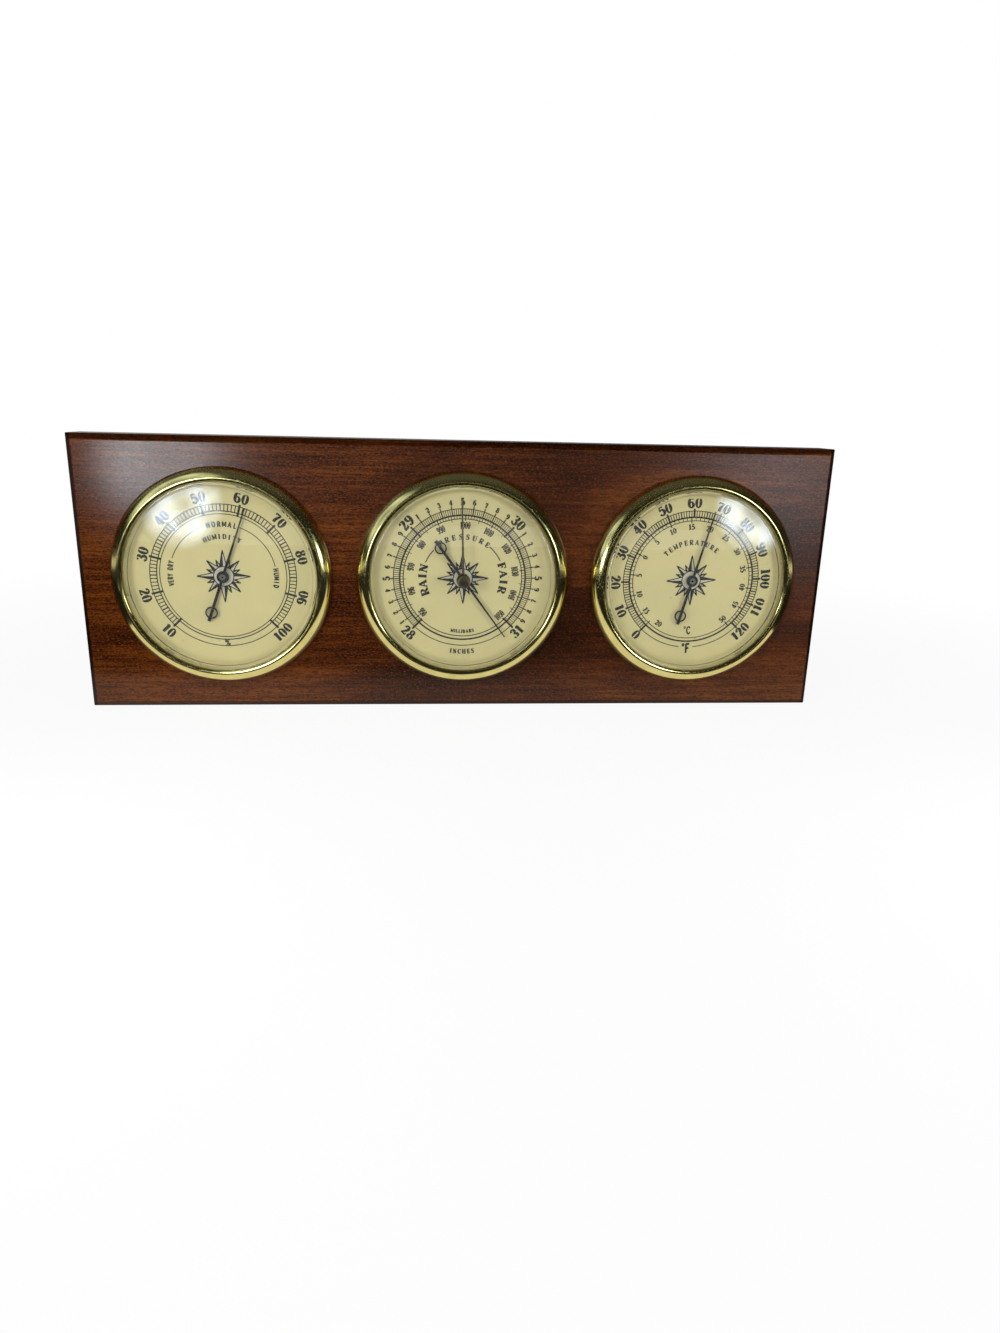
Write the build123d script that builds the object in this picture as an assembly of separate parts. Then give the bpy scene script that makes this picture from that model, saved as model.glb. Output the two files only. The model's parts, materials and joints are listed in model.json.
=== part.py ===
from build123d import *
import os
from math import atan2, cos, degrees, radians, sin, sqrt

# Weather station for a wall or a shelf: three round gauges in one bevelled hardwood board.
# The gauges are a hygrometer, a barometer and a thermometer.
# Millimetres. X runs to the right seen from the front, Y to the back and Z up.
# The origin is the middle of the board's bottom edge, on which it can stand.
# Each gauge has a frame of its own: x right, y up and z towards the viewer.
# In that frame z = 0 is the board's front face.

# Bezels and the board round them
BEZEL_RADIUS = 45.3
BEZEL_GAP = 9.7
END_MARGIN = 13.15
EDGE_MARGIN = 11.85
BOARD_BEVEL = 2.4
BEZEL_BAND = 6.0
BEZEL_WALL = 0.8
BEZEL_SHOULDER = 0.8
BEZEL_ROLL = 1.1
BEZEL_NOSE = 1.4
BEZEL_LIP = 0.6
BEZEL_LIP_WIDTH = 3.5

# Case cup
CASE_WALL = 1.5
CASE_FLOOR = 1.6
CASE_FLANGE = 1.4
CASE_FLANGE_WIDTH = 3.35
CASE_SETBACK = 0.57
FLANGE_CLEARANCE = 0.5
HOLE_CLEARANCE = 0.4
RIB_COUNT = 6
RIB_WIDTH = 2.0
RIB_HEIGHT = 0.3
RIB_LENGTH = 11.0
VENT_COUNT = 6
VENT_WIDTH = 2.4
VENT_ARC = 36.0
VENT_INSET = 9.0

# Crystal
CRYSTAL_THICKNESS = 1.5
CRYSTAL_FLANGE_WIDTH = 2.1
CRYSTAL_CLEARANCE = 0.4
CRYSTAL_CROWN = 2.8
CRYSTAL_DOME_RADIUS = 450.0
CRYSTAL_EDGE_ROUND = 1.0

# Dial pan
DIAL_SHEET = 0.6
DIAL_DEPTH = 2.0
DIAL_FLARE = 1.7
DIAL_BEND = 2.0
DIAL_CLEARANCE = 0.25
DIAL_HOLE_RADIUS = 1.9

# Hands, with their angles clockwise from the top as the photographed hands point
HYGROMETER_ANGLE = 20.0
BAROMETER_ANGLE = 144.0
THERMOMETER_ANGLE = 14.5
SET_HAND_ANGLE = -1.5
HYGROMETER_TIP_GAP = 6.3
BAROMETER_TIP_GAP = 5.2
THERMOMETER_TIP_GAP = 5.4
HAND_SHEET = 0.4
HAND_DISC_RADIUS = 2.5
HAND_ROOT_WIDTH = 1.15
HAND_TIP_WIDTH = 0.45
HAND_TAIL_WIDTH = 1.15
HAND_RING_DISTANCE = 16.2
HAND_RING_RADIUS = 2.6
HAND_RING_WIDTH = 0.6
HAND_STUB_LENGTH = 1.2
HAND_STUB_WIDTH = 1.4
HUB_GAP = 0.5
HUB_BARREL_RADIUS = 1.5
HUB_BARREL_LENGTH = 1.1
HUB_HEAD_RADIUS = 1.3
HUB_HEAD_HEIGHT = 0.4

# Set hand on the crystal of the barometer
SET_TIP_GAP = 3.4
SET_HAND_WIDTH = 1.05
SET_HAND_TIP_WIDTH = 0.6
SET_HUB_RADIUS = 2.9
SET_STEM_RADIUS = 0.9
SET_WASHER_RADIUS = 2.2
SET_WASHER_THICKNESS = 0.4
SET_SHOULDER_RADIUS = 1.5
SET_TIP_CLEARANCE = 0.5
SET_KNOB_RADIUS = 2.6
SET_KNOB_HEIGHT = 2.4
SET_KNOB_ROUND = 0.6

# Plates, shafts and small fits shared by the movements
PLATE = 1.0
SHAFT_RADIUS = 0.8
RUNNING_CLEARANCE = 0.05
SEAT_CLEARANCE = 0.05
DIAL_GAP = 1.1
BUSH_RADIUS = 1.5
BUSH_FLANGE_RADIUS = 2.3
BUSH_FLANGE = 0.6
SCREW_RADIUS = 0.9
SCREW_HEAD_RADIUS = 2.0
SCREW_HEAD_HEIGHT = 0.7
SCREW_BITE = 1.0

# Spiral-coil movements of the hygrometer and the thermometer
BRACKET_WIDTH = 9.0
BRACKET_HALF_SPAN = 15.5
BRACKET_FOOT = 8.0
BRACKET_BEND = 1.2
COIL_START_RADIUS = 2.2
COIL_PITCH = 1.6
COIL_HALF_TURNS = 10
COIL_STRIP = 0.25
COIL_WIDTH = 3.0
COIL_POST_RADIUS = 0.8

# Aneroid movement of the barometer
MODULE = 0.5
PINION_TEETH = 8
SECTOR_TEETH = 96
SECTOR_CUT_TEETH = 11
TOOTH_ADDENDUM = 0.4
TOOTH_DEDENDUM = 0.55
PINION_TOOTH = 0.52
SECTOR_TOOTH = 0.62
TOOTH_TIP = 0.26
PINION_OVERHANG = 0.25
SECTOR_THICKNESS = 1.0
SECTOR_RIM = 2.2
SECTOR_SPOKE = 2.2
SECTOR_HUB_RADIUS = 3.0
SECTOR_COLLAR_RADIUS = 1.25
PLATE_GAP = 0.5
PIN_DISTANCE = 2.0
PIN_RADIUS = 0.45
PIN_LENGTH = 1.4
PUSH_CLEARANCE = 0.15
UPRIGHT_LENGTH = 3.0
UPRIGHT_THICKNESS = 0.8
UPRIGHT_WIDTH = 1.2
FINGER_LENGTH = 8.0
ROCKER_BAR = 1.0
ROCKER_RADIUS = 0.7
EAR_WIDTH = 4.6
EAR_FOOT = 3.6
UPPER_EAR_Y = 2.0
LOWER_EAR_Y = -17.0
CAPSULE_EDGE_GAP = 3.95
CAPSULE_ARBOR_GAP = 5.0
CAPSULE_HEIGHT = 2.4
CAPSULE_RIM = 1.0
CAPSULE_CRIMP = 0.5
CAPSULE_FOLDS = 4
CAPSULE_FOLD_DEPTH = 0.35
CAPSULE_STUD_RADIUS = 0.8
CAPSULE_STUD = 0.6
BOSS_HEIGHT = 1.2
BOSS_RADIUS = 2.6
BASE_CLEARANCE = 2.2
BASE_SCREW_ANGLES = (28.0, 152.0, 278.0)
BASE_SCREW_INSET = 5.0
PILLAR_RADIUS = 1.7
PILLAR_INSETS = (15.1, 15.6, 6.15)
PILLAR_ANGLES = (196.0, 349.0, 257.0)
TOP_PLATE_MARGIN = 4.0
ADJUSTER_RADIUS = 1.25
ADJUSTER_HEAD_RADIUS = 2.5
ADJUSTER_HEAD = 0.9
ADJUSTER_SLOT = 0.6
ADJUSTER_ACCESS = 0.8
HAIRSPRING_START_RADIUS = 1.9
HAIRSPRING_PITCH = 0.64
HAIRSPRING_HALF_TURNS = 8
HAIRSPRING_STRIP = 0.14
HAIRSPRING_WIDTH = 0.6
HAIRSPRING_RISE = 4.0
HAIRSPRING_STUD_RADIUS = 0.6

# Keyhole hanger plates on the back
HANGER_RISE = 32.0
HANGER_END = 9.25
HANGER_WIDTH = 16.0
HANGER_THICKNESS = 1.5
HANGER_FIT = 0.2
KEYHOLE_ENTRY_RADIUS = 4.75
KEYHOLE_SLOT_RADIUS = 2.4
KEYHOLE_TRAVEL = 10.0
KEYHOLE_POCKET_WALL = 1.3
KEYHOLE_POCKET_DEPTH = 10.0
HANGER_SCREW_RADIUS = 1.5
HANGER_SCREW_HEAD_RADIUS = 3.0
HANGER_SCREW_LENGTH = 10.0

# Radii of the stacked shell, from the bezel inwards
SIGHT_RADIUS = BEZEL_RADIUS - BEZEL_BAND
CROWN_RADIUS = SIGHT_RADIUS + BEZEL_ROLL
CASE_FLANGE_RADIUS = BEZEL_RADIUS - BEZEL_WALL - FLANGE_CLEARANCE
CASE_RADIUS = CASE_FLANGE_RADIUS - CASE_FLANGE_WIDTH
CASE_INNER_RADIUS = CASE_RADIUS - CASE_WALL
HOLE_RADIUS = CASE_RADIUS + HOLE_CLEARANCE
CRYSTAL_RADIUS = SIGHT_RADIUS + CRYSTAL_FLANGE_WIDTH
CRYSTAL_WALL_RADIUS = SIGHT_RADIUS - CRYSTAL_CLEARANCE
DIAL_RIM_RADIUS = CASE_INNER_RADIUS - DIAL_CLEARANCE - DIAL_SHEET
DIAL_FLOOR_RADIUS = DIAL_RIM_RADIUS - DIAL_FLARE
BASE_RADIUS = CASE_INNER_RADIUS - BASE_CLEARANCE
CAPSULE_RADIUS = (BASE_RADIUS - CAPSULE_EDGE_GAP - CAPSULE_ARBOR_GAP) / 2
CAPSULE_Y = CAPSULE_ARBOR_GAP + CAPSULE_RADIUS

# Lengths of the hands and of the hanger plates
HYGROMETER_HAND_LENGTH = DIAL_FLOOR_RADIUS - HYGROMETER_TIP_GAP
BAROMETER_HAND_LENGTH = DIAL_FLOOR_RADIUS - BAROMETER_TIP_GAP
THERMOMETER_HAND_LENGTH = DIAL_FLOOR_RADIUS - THERMOMETER_TIP_GAP
SET_HAND_LENGTH = CRYSTAL_WALL_RADIUS - CRYSTAL_THICKNESS - SET_TIP_GAP
HANGER_LENGTH = KEYHOLE_TRAVEL + 2 * (KEYHOLE_ENTRY_RADIUS + HANGER_END)
HANGER_SCREW_SPACING = HANGER_LENGTH - HANGER_END

# Levels along the gauge axis in front of the dial
FLANGE_TOP = BEZEL_LIP + CASE_FLANGE
DIAL_FLANGE_TOP = FLANGE_TOP + DIAL_SHEET
CRYSTAL_FLANGE_TOP = DIAL_FLANGE_TOP + CRYSTAL_THICKNESS
BEZEL_TOP = CRYSTAL_FLANGE_TOP + BEZEL_NOSE
CRYSTAL_TOP = CRYSTAL_FLANGE_TOP + CRYSTAL_CROWN
CRYSTAL_UNDERSIDE = CRYSTAL_TOP - CRYSTAL_THICKNESS
CRYSTAL_INNER_DOME_RADIUS = CRYSTAL_DOME_RADIUS - CRYSTAL_THICKNESS
SET_TIP_SAG = CRYSTAL_INNER_DOME_RADIUS - sqrt(CRYSTAL_INNER_DOME_RADIUS**2 - SET_HAND_LENGTH**2)
SET_WASHER_BACK = CRYSTAL_UNDERSIDE - SET_WASHER_THICKNESS - RUNNING_CLEARANCE
SET_HAND_FRONT = CRYSTAL_UNDERSIDE - SET_TIP_SAG - SET_TIP_CLEARANCE
SET_HAND_BACK = SET_HAND_FRONT - HAND_SHEET
DIAL_FACE = -DIAL_DEPTH
DIAL_BACK = DIAL_FACE - DIAL_SHEET
HUB_BACK = DIAL_FACE + HUB_GAP
HAND_BACK = HUB_BACK + HUB_BARREL_LENGTH
HAND_FRONT = HAND_BACK + HAND_SHEET
HUB_FRONT = HAND_FRONT + HUB_HEAD_HEIGHT

# Gear train: the sector turns the pinion, and the rocker pushes the sector's pin
GEAR_RATIO = SECTOR_TEETH / PINION_TEETH
PINION_PITCH_RADIUS = MODULE * PINION_TEETH / 2
SECTOR_PITCH_RADIUS = MODULE * SECTOR_TEETH / 2
CENTRE_DISTANCE = PINION_PITCH_RADIUS + SECTOR_PITCH_RADIUS
SECTOR_X = FINGER_LENGTH
SECTOR_Y = -sqrt(CENTRE_DISTANCE**2 - SECTOR_X**2)
SECTOR_REST = BAROMETER_ANGLE / GEAR_RATIO
ROCKER_REST = -SECTOR_REST * PIN_DISTANCE / UPRIGHT_LENGTH

# Levels along the gauge axis behind the dial, down to the case floor, which sets the board's thickness
TOP_PLATE_FRONT = DIAL_BACK - DIAL_GAP
TOP_PLATE_BACK = TOP_PLATE_FRONT - PLATE
SECTOR_FRONT = TOP_PLATE_BACK - PLATE_GAP
SECTOR_BACK = SECTOR_FRONT - SECTOR_THICKNESS
ROCKER_AXLE = SECTOR_BACK - PIN_LENGTH / 2 - UPRIGHT_LENGTH
FINGER_DROP = (FINGER_LENGTH + CAPSULE_STUD_RADIUS) * sin(radians(-ROCKER_REST))
FINGER_UNDERSIDE = ROCKER_AXLE - FINGER_DROP - ROCKER_BAR / 2 / cos(radians(ROCKER_REST))
CAPSULE_TOP = FINGER_UNDERSIDE - SEAT_CLEARANCE - CAPSULE_STUD
BASE_FRONT = CAPSULE_TOP - CAPSULE_HEIGHT
BASE_BACK = BASE_FRONT - PLATE
FLOOR_FRONT = BASE_BACK - BOSS_HEIGHT
FLOOR_BACK = FLOOR_FRONT - CASE_FLOOR
BOARD_THICKNESS = CASE_SETBACK - FLOOR_BACK

# Board outline and the places of the gauges
GAUGE_SPACING = 2 * BEZEL_RADIUS + BEZEL_GAP
BOARD_LENGTH = 2 * (GAUGE_SPACING + BEZEL_RADIUS + END_MARGIN)
BOARD_HEIGHT = 2 * (BEZEL_RADIUS + EDGE_MARGIN)
FRONT = -BOARD_THICKNESS / 2
BACK = BOARD_THICKNESS / 2
GAUGE_X = {"hygrometer": -GAUGE_SPACING, "barometer": 0.0, "thermometer": GAUGE_SPACING}


def gauge_frame(name):
    """Frame of one gauge: x right, y up, z towards the viewer."""
    return Plane(origin=(GAUGE_X[name], FRONT, BOARD_HEIGHT / 2), x_dir=(1, 0, 0), z_dir=(0, -1, 0))


def hanger_frames():
    """Frames of the two hanger plates: y up, z out of the back face towards the wall."""
    height = BOARD_HEIGHT / 2 + HANGER_RISE
    places = (-GAUGE_SPACING / 2, GAUGE_SPACING / 2)
    return [Plane(origin=(x, BACK, height), x_dir=(-1, 0, 0), z_dir=(0, 1, 0)) for x in places]


def lathe(face):
    """Solid turned about the gauge axis from a face drawn as radius across and level up."""
    return revolve(Plane.XZ * face, Axis.Z)


def turned(*points):
    """Solid turned from a closed outline of radius and level pairs."""
    return lathe(make_face(Polyline(*points, close=True)))


def disc(radius, back, front, x=0.0, y=0.0):
    """Round bar along the gauge axis between two levels."""
    low = (Align.CENTER, Align.CENTER, Align.MIN)
    return Pos(x, y, back) * Cylinder(radius, front - back, align=low)


def sheet(sketch, back, front):
    """Flat piece cut from sheet between two levels."""
    return extrude(Pos(0, 0, back) * sketch, amount=front - back, dir=(0, 0, 1))


def clockwise(angle, part):
    """The part turned clockwise about the gauge axis, as the viewer sees it."""
    return Rot(0, 0, -angle) * part


def polar(radius, angle):
    """Point at a radius and an angle counted anticlockwise from the right."""
    return (radius * cos(radians(angle)), radius * sin(radians(angle)))


# Board and hangers


def keyhole(entry_radius, slot_radius):
    """Keyhole outline: a round entry below and a slot that runs up from it."""
    entry = Pos(0, -KEYHOLE_TRAVEL / 2) * Circle(entry_radius)
    slot_length = KEYHOLE_TRAVEL + 2 * slot_radius
    return entry + SlotOverall(slot_length, 2 * slot_radius, rotation=90)


def hanger_screw_places():
    """The two screw places of one hanger plate, below and above the keyhole."""
    return [(0, -HANGER_SCREW_SPACING / 2), (0, HANGER_SCREW_SPACING / 2)]


def hanger_screw_shape(clearance=0.0):
    """Countersunk wood screw, its head level with the plate; a clearance makes its hole."""
    head = HANGER_SCREW_HEAD_RADIUS + clearance
    shank = HANGER_SCREW_RADIUS + clearance
    tip = -HANGER_SCREW_LENGTH - clearance
    return turned((0, 0), (head, 0), (shank, -HANGER_THICKNESS), (shank, tip), (0, tip))


def hanger_plate():
    """Steel hanger plate with its keyhole and countersunk screw holes, in a hanger's frame."""
    outline = SlotOverall(HANGER_LENGTH, HANGER_WIDTH, rotation=90)
    outline -= keyhole(KEYHOLE_ENTRY_RADIUS, KEYHOLE_SLOT_RADIUS)
    plate = sheet(outline, -HANGER_THICKNESS, 0)
    for x, y in hanger_screw_places():
        plate -= Pos(x, y, 0) * hanger_screw_shape(SEAT_CLEARANCE)
    return plate


def hanger_recess():
    """Wood taken out behind one hanger: the plate's seat, a pocket for a screw head and the pilot holes."""
    seat_length = HANGER_LENGTH + 2 * HANGER_FIT
    seat = SlotOverall(seat_length, HANGER_WIDTH + 2 * HANGER_FIT, rotation=90)
    pocket_radius = KEYHOLE_ENTRY_RADIUS + KEYHOLE_POCKET_WALL
    pocket = SlotOverall(KEYHOLE_TRAVEL + 2 * pocket_radius, 2 * pocket_radius, rotation=90)
    recess = sheet(seat, -HANGER_THICKNESS, 0)
    recess += sheet(pocket, -HANGER_THICKNESS - KEYHOLE_POCKET_DEPTH, 0)
    for x, y in hanger_screw_places():
        recess += Pos(x, y, 0) * hanger_screw_shape(SEAT_CLEARANCE)
    return recess


def board():
    """Bevelled hardwood board with three round gauge holes and the hanger recesses."""
    blank = Pos(0, 0, BOARD_HEIGHT / 2) * Box(BOARD_LENGTH, BOARD_THICKNESS, BOARD_HEIGHT)
    front_face = blank.faces().sort_by(Axis.Y)[0]
    blank = chamfer(front_face.edges(), BOARD_BEVEL)
    for name in GAUGE_X:
        blank -= gauge_frame(name) * disc(HOLE_RADIUS, -BOARD_THICKNESS, 0)
    for frame in hanger_frames():
        blank -= frame * hanger_recess()
    return blank


def hanger_screws():
    """The four wood screws of the hanger plates."""
    screws = []
    for frame in hanger_frames():
        screws += [frame * (Pos(x, y, 0) * hanger_screw_shape()) for x, y in hanger_screw_places()]
    return Compound(screws)


# Shell of a gauge


def bezel():
    """Spun brass ring: a convex crown with a rolled inner nose and a rim turned under the case flange."""
    crown_rise = BEZEL_TOP - BEZEL_SHOULDER
    shoulder = (CROWN_RADIUS, BEZEL_SHOULDER)
    crown = EllipticalCenterArc(shoulder, BEZEL_RADIUS - CROWN_RADIUS, crown_rise, 0, arc_size=90)
    nose_drop = BEZEL_NOSE - BEZEL_WALL / 2
    nose = EllipticalCenterArc((CROWN_RADIUS, BEZEL_TOP - nose_drop), BEZEL_ROLL, nose_drop, 90, arc_size=90)
    outline = make_face([
        Line((BEZEL_RADIUS, 0), (BEZEL_RADIUS, BEZEL_SHOULDER)),
        crown,
        nose,
        Polyline(nose @ 1, (SIGHT_RADIUS, CRYSTAL_FLANGE_TOP), (CROWN_RADIUS, CRYSTAL_FLANGE_TOP),
                 (CROWN_RADIUS, 0), (BEZEL_RADIUS, 0)),
    ])
    hollow_rise = crown_rise - BEZEL_WALL
    hollow_width = BEZEL_RADIUS - BEZEL_WALL - CROWN_RADIUS
    hollow_arc = EllipticalCenterArc(shoulder, hollow_width, hollow_rise, 0, arc_size=90)
    hollow = make_face([
        hollow_arc,
        Polyline(hollow_arc @ 1, (CROWN_RADIUS, BEZEL_LIP), (CROWN_RADIUS + hollow_width, BEZEL_LIP),
                 hollow_arc @ 0),
    ])
    over_crystal = Pos(CROWN_RADIUS, BEZEL_TOP) * Rectangle(2 * hollow_width, 2 * BEZEL_NOSE)
    lip_opening = Pos(CROWN_RADIUS, 0) * Rectangle(
        BEZEL_RADIUS - BEZEL_LIP_WIDTH - CROWN_RADIUS, BEZEL_LIP, align=(Align.MIN, Align.MIN))
    return lathe(outline - (hollow - over_crystal) - lip_opening)


def crystal():
    """Clear domed crystal with a clamped flange and a rounded shoulder."""
    dome_centre = CRYSTAL_TOP - CRYSTAL_DOME_RADIUS
    round_x = CRYSTAL_WALL_RADIUS - CRYSTAL_EDGE_ROUND
    round_reach = CRYSTAL_DOME_RADIUS - CRYSTAL_EDGE_ROUND
    round_y = dome_centre + sqrt(round_reach**2 - round_x**2)
    lean = degrees(atan2(round_y - dome_centre, round_x))
    inner_wall = CRYSTAL_WALL_RADIUS - CRYSTAL_THICKNESS
    inner_edge = degrees(atan2(sqrt(CRYSTAL_INNER_DOME_RADIUS**2 - inner_wall**2), inner_wall))
    edge_round = CenterArc((round_x, round_y), CRYSTAL_EDGE_ROUND, 0, lean)
    dome = CenterArc((0, dome_centre), CRYSTAL_DOME_RADIUS, lean, 90 - lean)
    inner_dome = CenterArc((0, dome_centre), CRYSTAL_INNER_DOME_RADIUS, inner_edge, 90 - inner_edge)
    section = make_face([
        Polyline((inner_wall, DIAL_FLANGE_TOP), (CRYSTAL_RADIUS, DIAL_FLANGE_TOP),
                 (CRYSTAL_RADIUS, CRYSTAL_FLANGE_TOP), (CRYSTAL_WALL_RADIUS, CRYSTAL_FLANGE_TOP),
                 edge_round @ 0),
        edge_round,
        dome,
        Line(dome @ 1, inner_dome @ 1),
        inner_dome,
        Line(inner_dome @ 0, (inner_wall, DIAL_FLANGE_TOP)),
    ])
    return lathe(section)


def drilled_crystal():
    """The barometer's crystal, drilled in the middle for the set hand's stem."""
    hole_radius = SET_STEM_RADIUS + RUNNING_CLEARANCE
    return crystal() - disc(hole_radius, CRYSTAL_UNDERSIDE - PLATE, CRYSTAL_TOP + PLATE)


def dial():
    """Dished dial pan: a flat face, a flared wall and a flange clamped under the crystal."""
    front = FilletPolyline(
        (DIAL_HOLE_RADIUS, DIAL_FACE), (DIAL_FLOOR_RADIUS, DIAL_FACE), (DIAL_RIM_RADIUS, DIAL_FLANGE_TOP),
        (CRYSTAL_RADIUS, DIAL_FLANGE_TOP), radius=(DIAL_BEND, DIAL_SHEET / 2))
    return lathe(make_face(front.offset_2d(DIAL_SHEET, side=Side.RIGHT).edges()))


def case_cup():
    """Moulded cup with a front flange and crush ribs that grip the board's hole."""
    cup = turned(
        (0, FLOOR_BACK), (CASE_RADIUS, FLOOR_BACK), (CASE_RADIUS, BEZEL_LIP), (CASE_FLANGE_RADIUS, BEZEL_LIP),
        (CASE_FLANGE_RADIUS, FLANGE_TOP), (CASE_INNER_RADIUS, FLANGE_TOP), (CASE_INNER_RADIUS, FLOOR_FRONT),
        (0, FLOOR_FRONT))
    rib_sketch = Pos(CASE_RADIUS + RIB_HEIGHT, 0) * Rectangle(
        CASE_WALL + RIB_HEIGHT, RIB_WIDTH, align=(Align.MAX, Align.CENTER))
    rib_start = FLOOR_BACK + (BEZEL_LIP - FLOOR_BACK - RIB_LENGTH) / 2
    rib = sheet(rib_sketch, rib_start, rib_start + RIB_LENGTH)
    rib -= disc(CASE_RADIUS - CASE_WALL / 2, FLOOR_BACK, 0)
    return cup + [location * rib for location in PolarLocations(0, RIB_COUNT)]


def vented_case():
    """Case of a coil gauge: air slots in its floor and a blind seat for the rear bush."""
    vent_arc = CenterArc((0, 0), CASE_INNER_RADIUS - VENT_INSET, -VENT_ARC / 2, VENT_ARC)
    vent = sheet(SlotArc(vent_arc, VENT_WIDTH), FLOOR_BACK, FLOOR_FRONT)
    case = case_cup() - disc(BUSH_RADIUS + SEAT_CLEARANCE, FLOOR_FRONT - PLATE, FLOOR_FRONT)
    case -= [location * vent for location in PolarLocations(0, VENT_COUNT, start_angle=180 / VENT_COUNT)]
    for x in bracket_screw_places():
        case -= disc(SCREW_RADIUS + SEAT_CLEARANCE, FLOOR_FRONT - SCREW_BITE - SEAT_CLEARANCE, FLOOR_FRONT, x)
    return case


# Hands


def hand_blank(length):
    """Pointer pointing up: a tapered blade, a hub disc, and a tail bar with an open ring and a blunt stub."""
    ring_y = -HAND_RING_DISTANCE
    tail_end = ring_y - HAND_RING_RADIUS
    blade = make_face(Polyline(
        (-HAND_ROOT_WIDTH / 2, 0), (HAND_ROOT_WIDTH / 2, 0), (HAND_TIP_WIDTH / 2, length),
        (-HAND_TIP_WIDTH / 2, length), close=True))
    tail = Rectangle(HAND_TAIL_WIDTH, -tail_end, align=(Align.CENTER, Align.MAX))
    ring = Pos(0, ring_y) * (Circle(HAND_RING_RADIUS) - Circle(HAND_RING_RADIUS - HAND_RING_WIDTH))
    stub_overlap = HAND_RING_WIDTH / 2
    stub = Pos(0, tail_end + stub_overlap) * Rectangle(
        HAND_STUB_WIDTH, HAND_STUB_LENGTH + stub_overlap, align=(Align.CENTER, Align.MAX))
    return blade + tail + ring + stub + Circle(HAND_DISC_RADIUS)


def hand(length):
    """Black pointer with the hole for its hub."""
    return sheet(hand_blank(length) - Circle(SHAFT_RADIUS + SEAT_CLEARANCE), HAND_BACK, HAND_FRONT)


def hand_hub():
    """Hub behind the pointer, bored for the arbor, with a seat that carries the pointer's disc."""
    bore = SHAFT_RADIUS + SEAT_CLEARANCE
    return disc(HUB_BARREL_RADIUS, HUB_BACK, HAND_BACK) - disc(bore, HUB_BACK, HAND_BACK)


def hand_eyelet():
    """Eyelet on the arbor's end that holds the pointer against its hub."""
    eyelet = disc(HUB_HEAD_RADIUS, HAND_FRONT, HUB_FRONT)
    return eyelet - disc(SHAFT_RADIUS + SEAT_CLEARANCE, HAND_FRONT, HUB_FRONT)


def set_hand():
    """Slim set hand under the crystal, pointing up."""
    half_width = SET_HAND_WIDTH / 2
    blade = make_face(Polyline(
        (-half_width, 0), (half_width, 0), (SET_HAND_TIP_WIDTH / 2, SET_HAND_LENGTH),
        (-SET_HAND_TIP_WIDTH / 2, SET_HAND_LENGTH), close=True))
    outline = blade + Circle(SET_HUB_RADIUS) - Circle(SET_STEM_RADIUS + SEAT_CLEARANCE)
    return sheet(outline, SET_HAND_BACK, SET_HAND_FRONT)


def set_stem():
    """Stem through the crystal: a shoulder under the washer and a riveted head behind the set hand."""
    shoulder = disc(SET_SHOULDER_RADIUS, SET_HAND_FRONT, SET_WASHER_BACK - RUNNING_CLEARANCE)
    head = disc(SET_SHOULDER_RADIUS, SET_HAND_BACK - HAND_SHEET, SET_HAND_BACK)
    return head + shoulder + disc(SET_STEM_RADIUS, SET_HAND_BACK, CRYSTAL_TOP + SET_KNOB_HEIGHT / 2)


def set_washer():
    """Friction washer between the stem's shoulder and the crystal."""
    front = CRYSTAL_UNDERSIDE - RUNNING_CLEARANCE
    hole = disc(SET_STEM_RADIUS + SEAT_CLEARANCE, SET_WASHER_BACK, front)
    return disc(SET_WASHER_RADIUS, SET_WASHER_BACK, front) - hole


def set_knob():
    """Turned brass knob in front of the crystal, bored for the stem."""
    back = CRYSTAL_TOP + RUNNING_CLEARANCE
    front = back + SET_KNOB_HEIGHT
    knob = disc(SET_KNOB_RADIUS, back, front)
    knob = fillet(knob.edges().sort_by(Axis.Z)[-1], SET_KNOB_ROUND)
    bore_end = CRYSTAL_TOP + SET_KNOB_HEIGHT / 2 + SEAT_CLEARANCE
    return knob - disc(SET_STEM_RADIUS + SEAT_CLEARANCE, back, bore_end)


# Coil movements


def spiral(start_radius, pitch, half_turns, strip):
    """Flat spiral strip of half-turn arcs, from the inside out, ending on the right for an even count."""
    step = pitch / 2
    outer = []
    inner = []
    for turn in range(half_turns):
        centre = (step * (turn % 2), 0)
        radius = start_radius + turn * step
        outer.append(CenterArc(centre, radius + strip / 2, 180 * (turn % 2), 180))
        inner.append(CenterArc(centre, radius - strip / 2, 180 * (turn % 2), 180))
    caps = [Line(inner[0] @ 0, outer[0] @ 0), Line(inner[-1] @ 1, outer[-1] @ 1)]
    return make_face(outer + inner + caps)


def coil_middle():
    """Level of the middle of the coil strip, halfway between floor and bracket."""
    return (FLOOR_FRONT + TOP_PLATE_BACK) / 2


def coil():
    """Spiral sensing strip."""
    strip = spiral(COIL_START_RADIUS, COIL_PITCH, COIL_HALF_TURNS, COIL_STRIP)
    return sheet(strip, coil_middle() - COIL_WIDTH / 2, coil_middle() + COIL_WIDTH / 2)


def coil_post():
    """Post on the case floor that anchors the coil's outer end."""
    end_radius = COIL_START_RADIUS + COIL_HALF_TURNS * COIL_PITCH / 2 + COIL_STRIP / 2
    return disc(COIL_POST_RADIUS, FLOOR_FRONT, coil_middle() + COIL_WIDTH / 2,
                end_radius + SEAT_CLEARANCE + COIL_POST_RADIUS)


def coil_arbor():
    """Arbor between the two bushes, with the collet that carries the coil's inner end."""
    collet_radius = COIL_START_RADIUS - COIL_STRIP / 2 - SEAT_CLEARANCE
    shaft = disc(SHAFT_RADIUS, FLOOR_FRONT - PLATE + RUNNING_CLEARANCE, HUB_FRONT)
    return shaft + disc(collet_radius, coil_middle() - COIL_WIDTH / 2, coil_middle() + COIL_WIDTH / 2)


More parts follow.
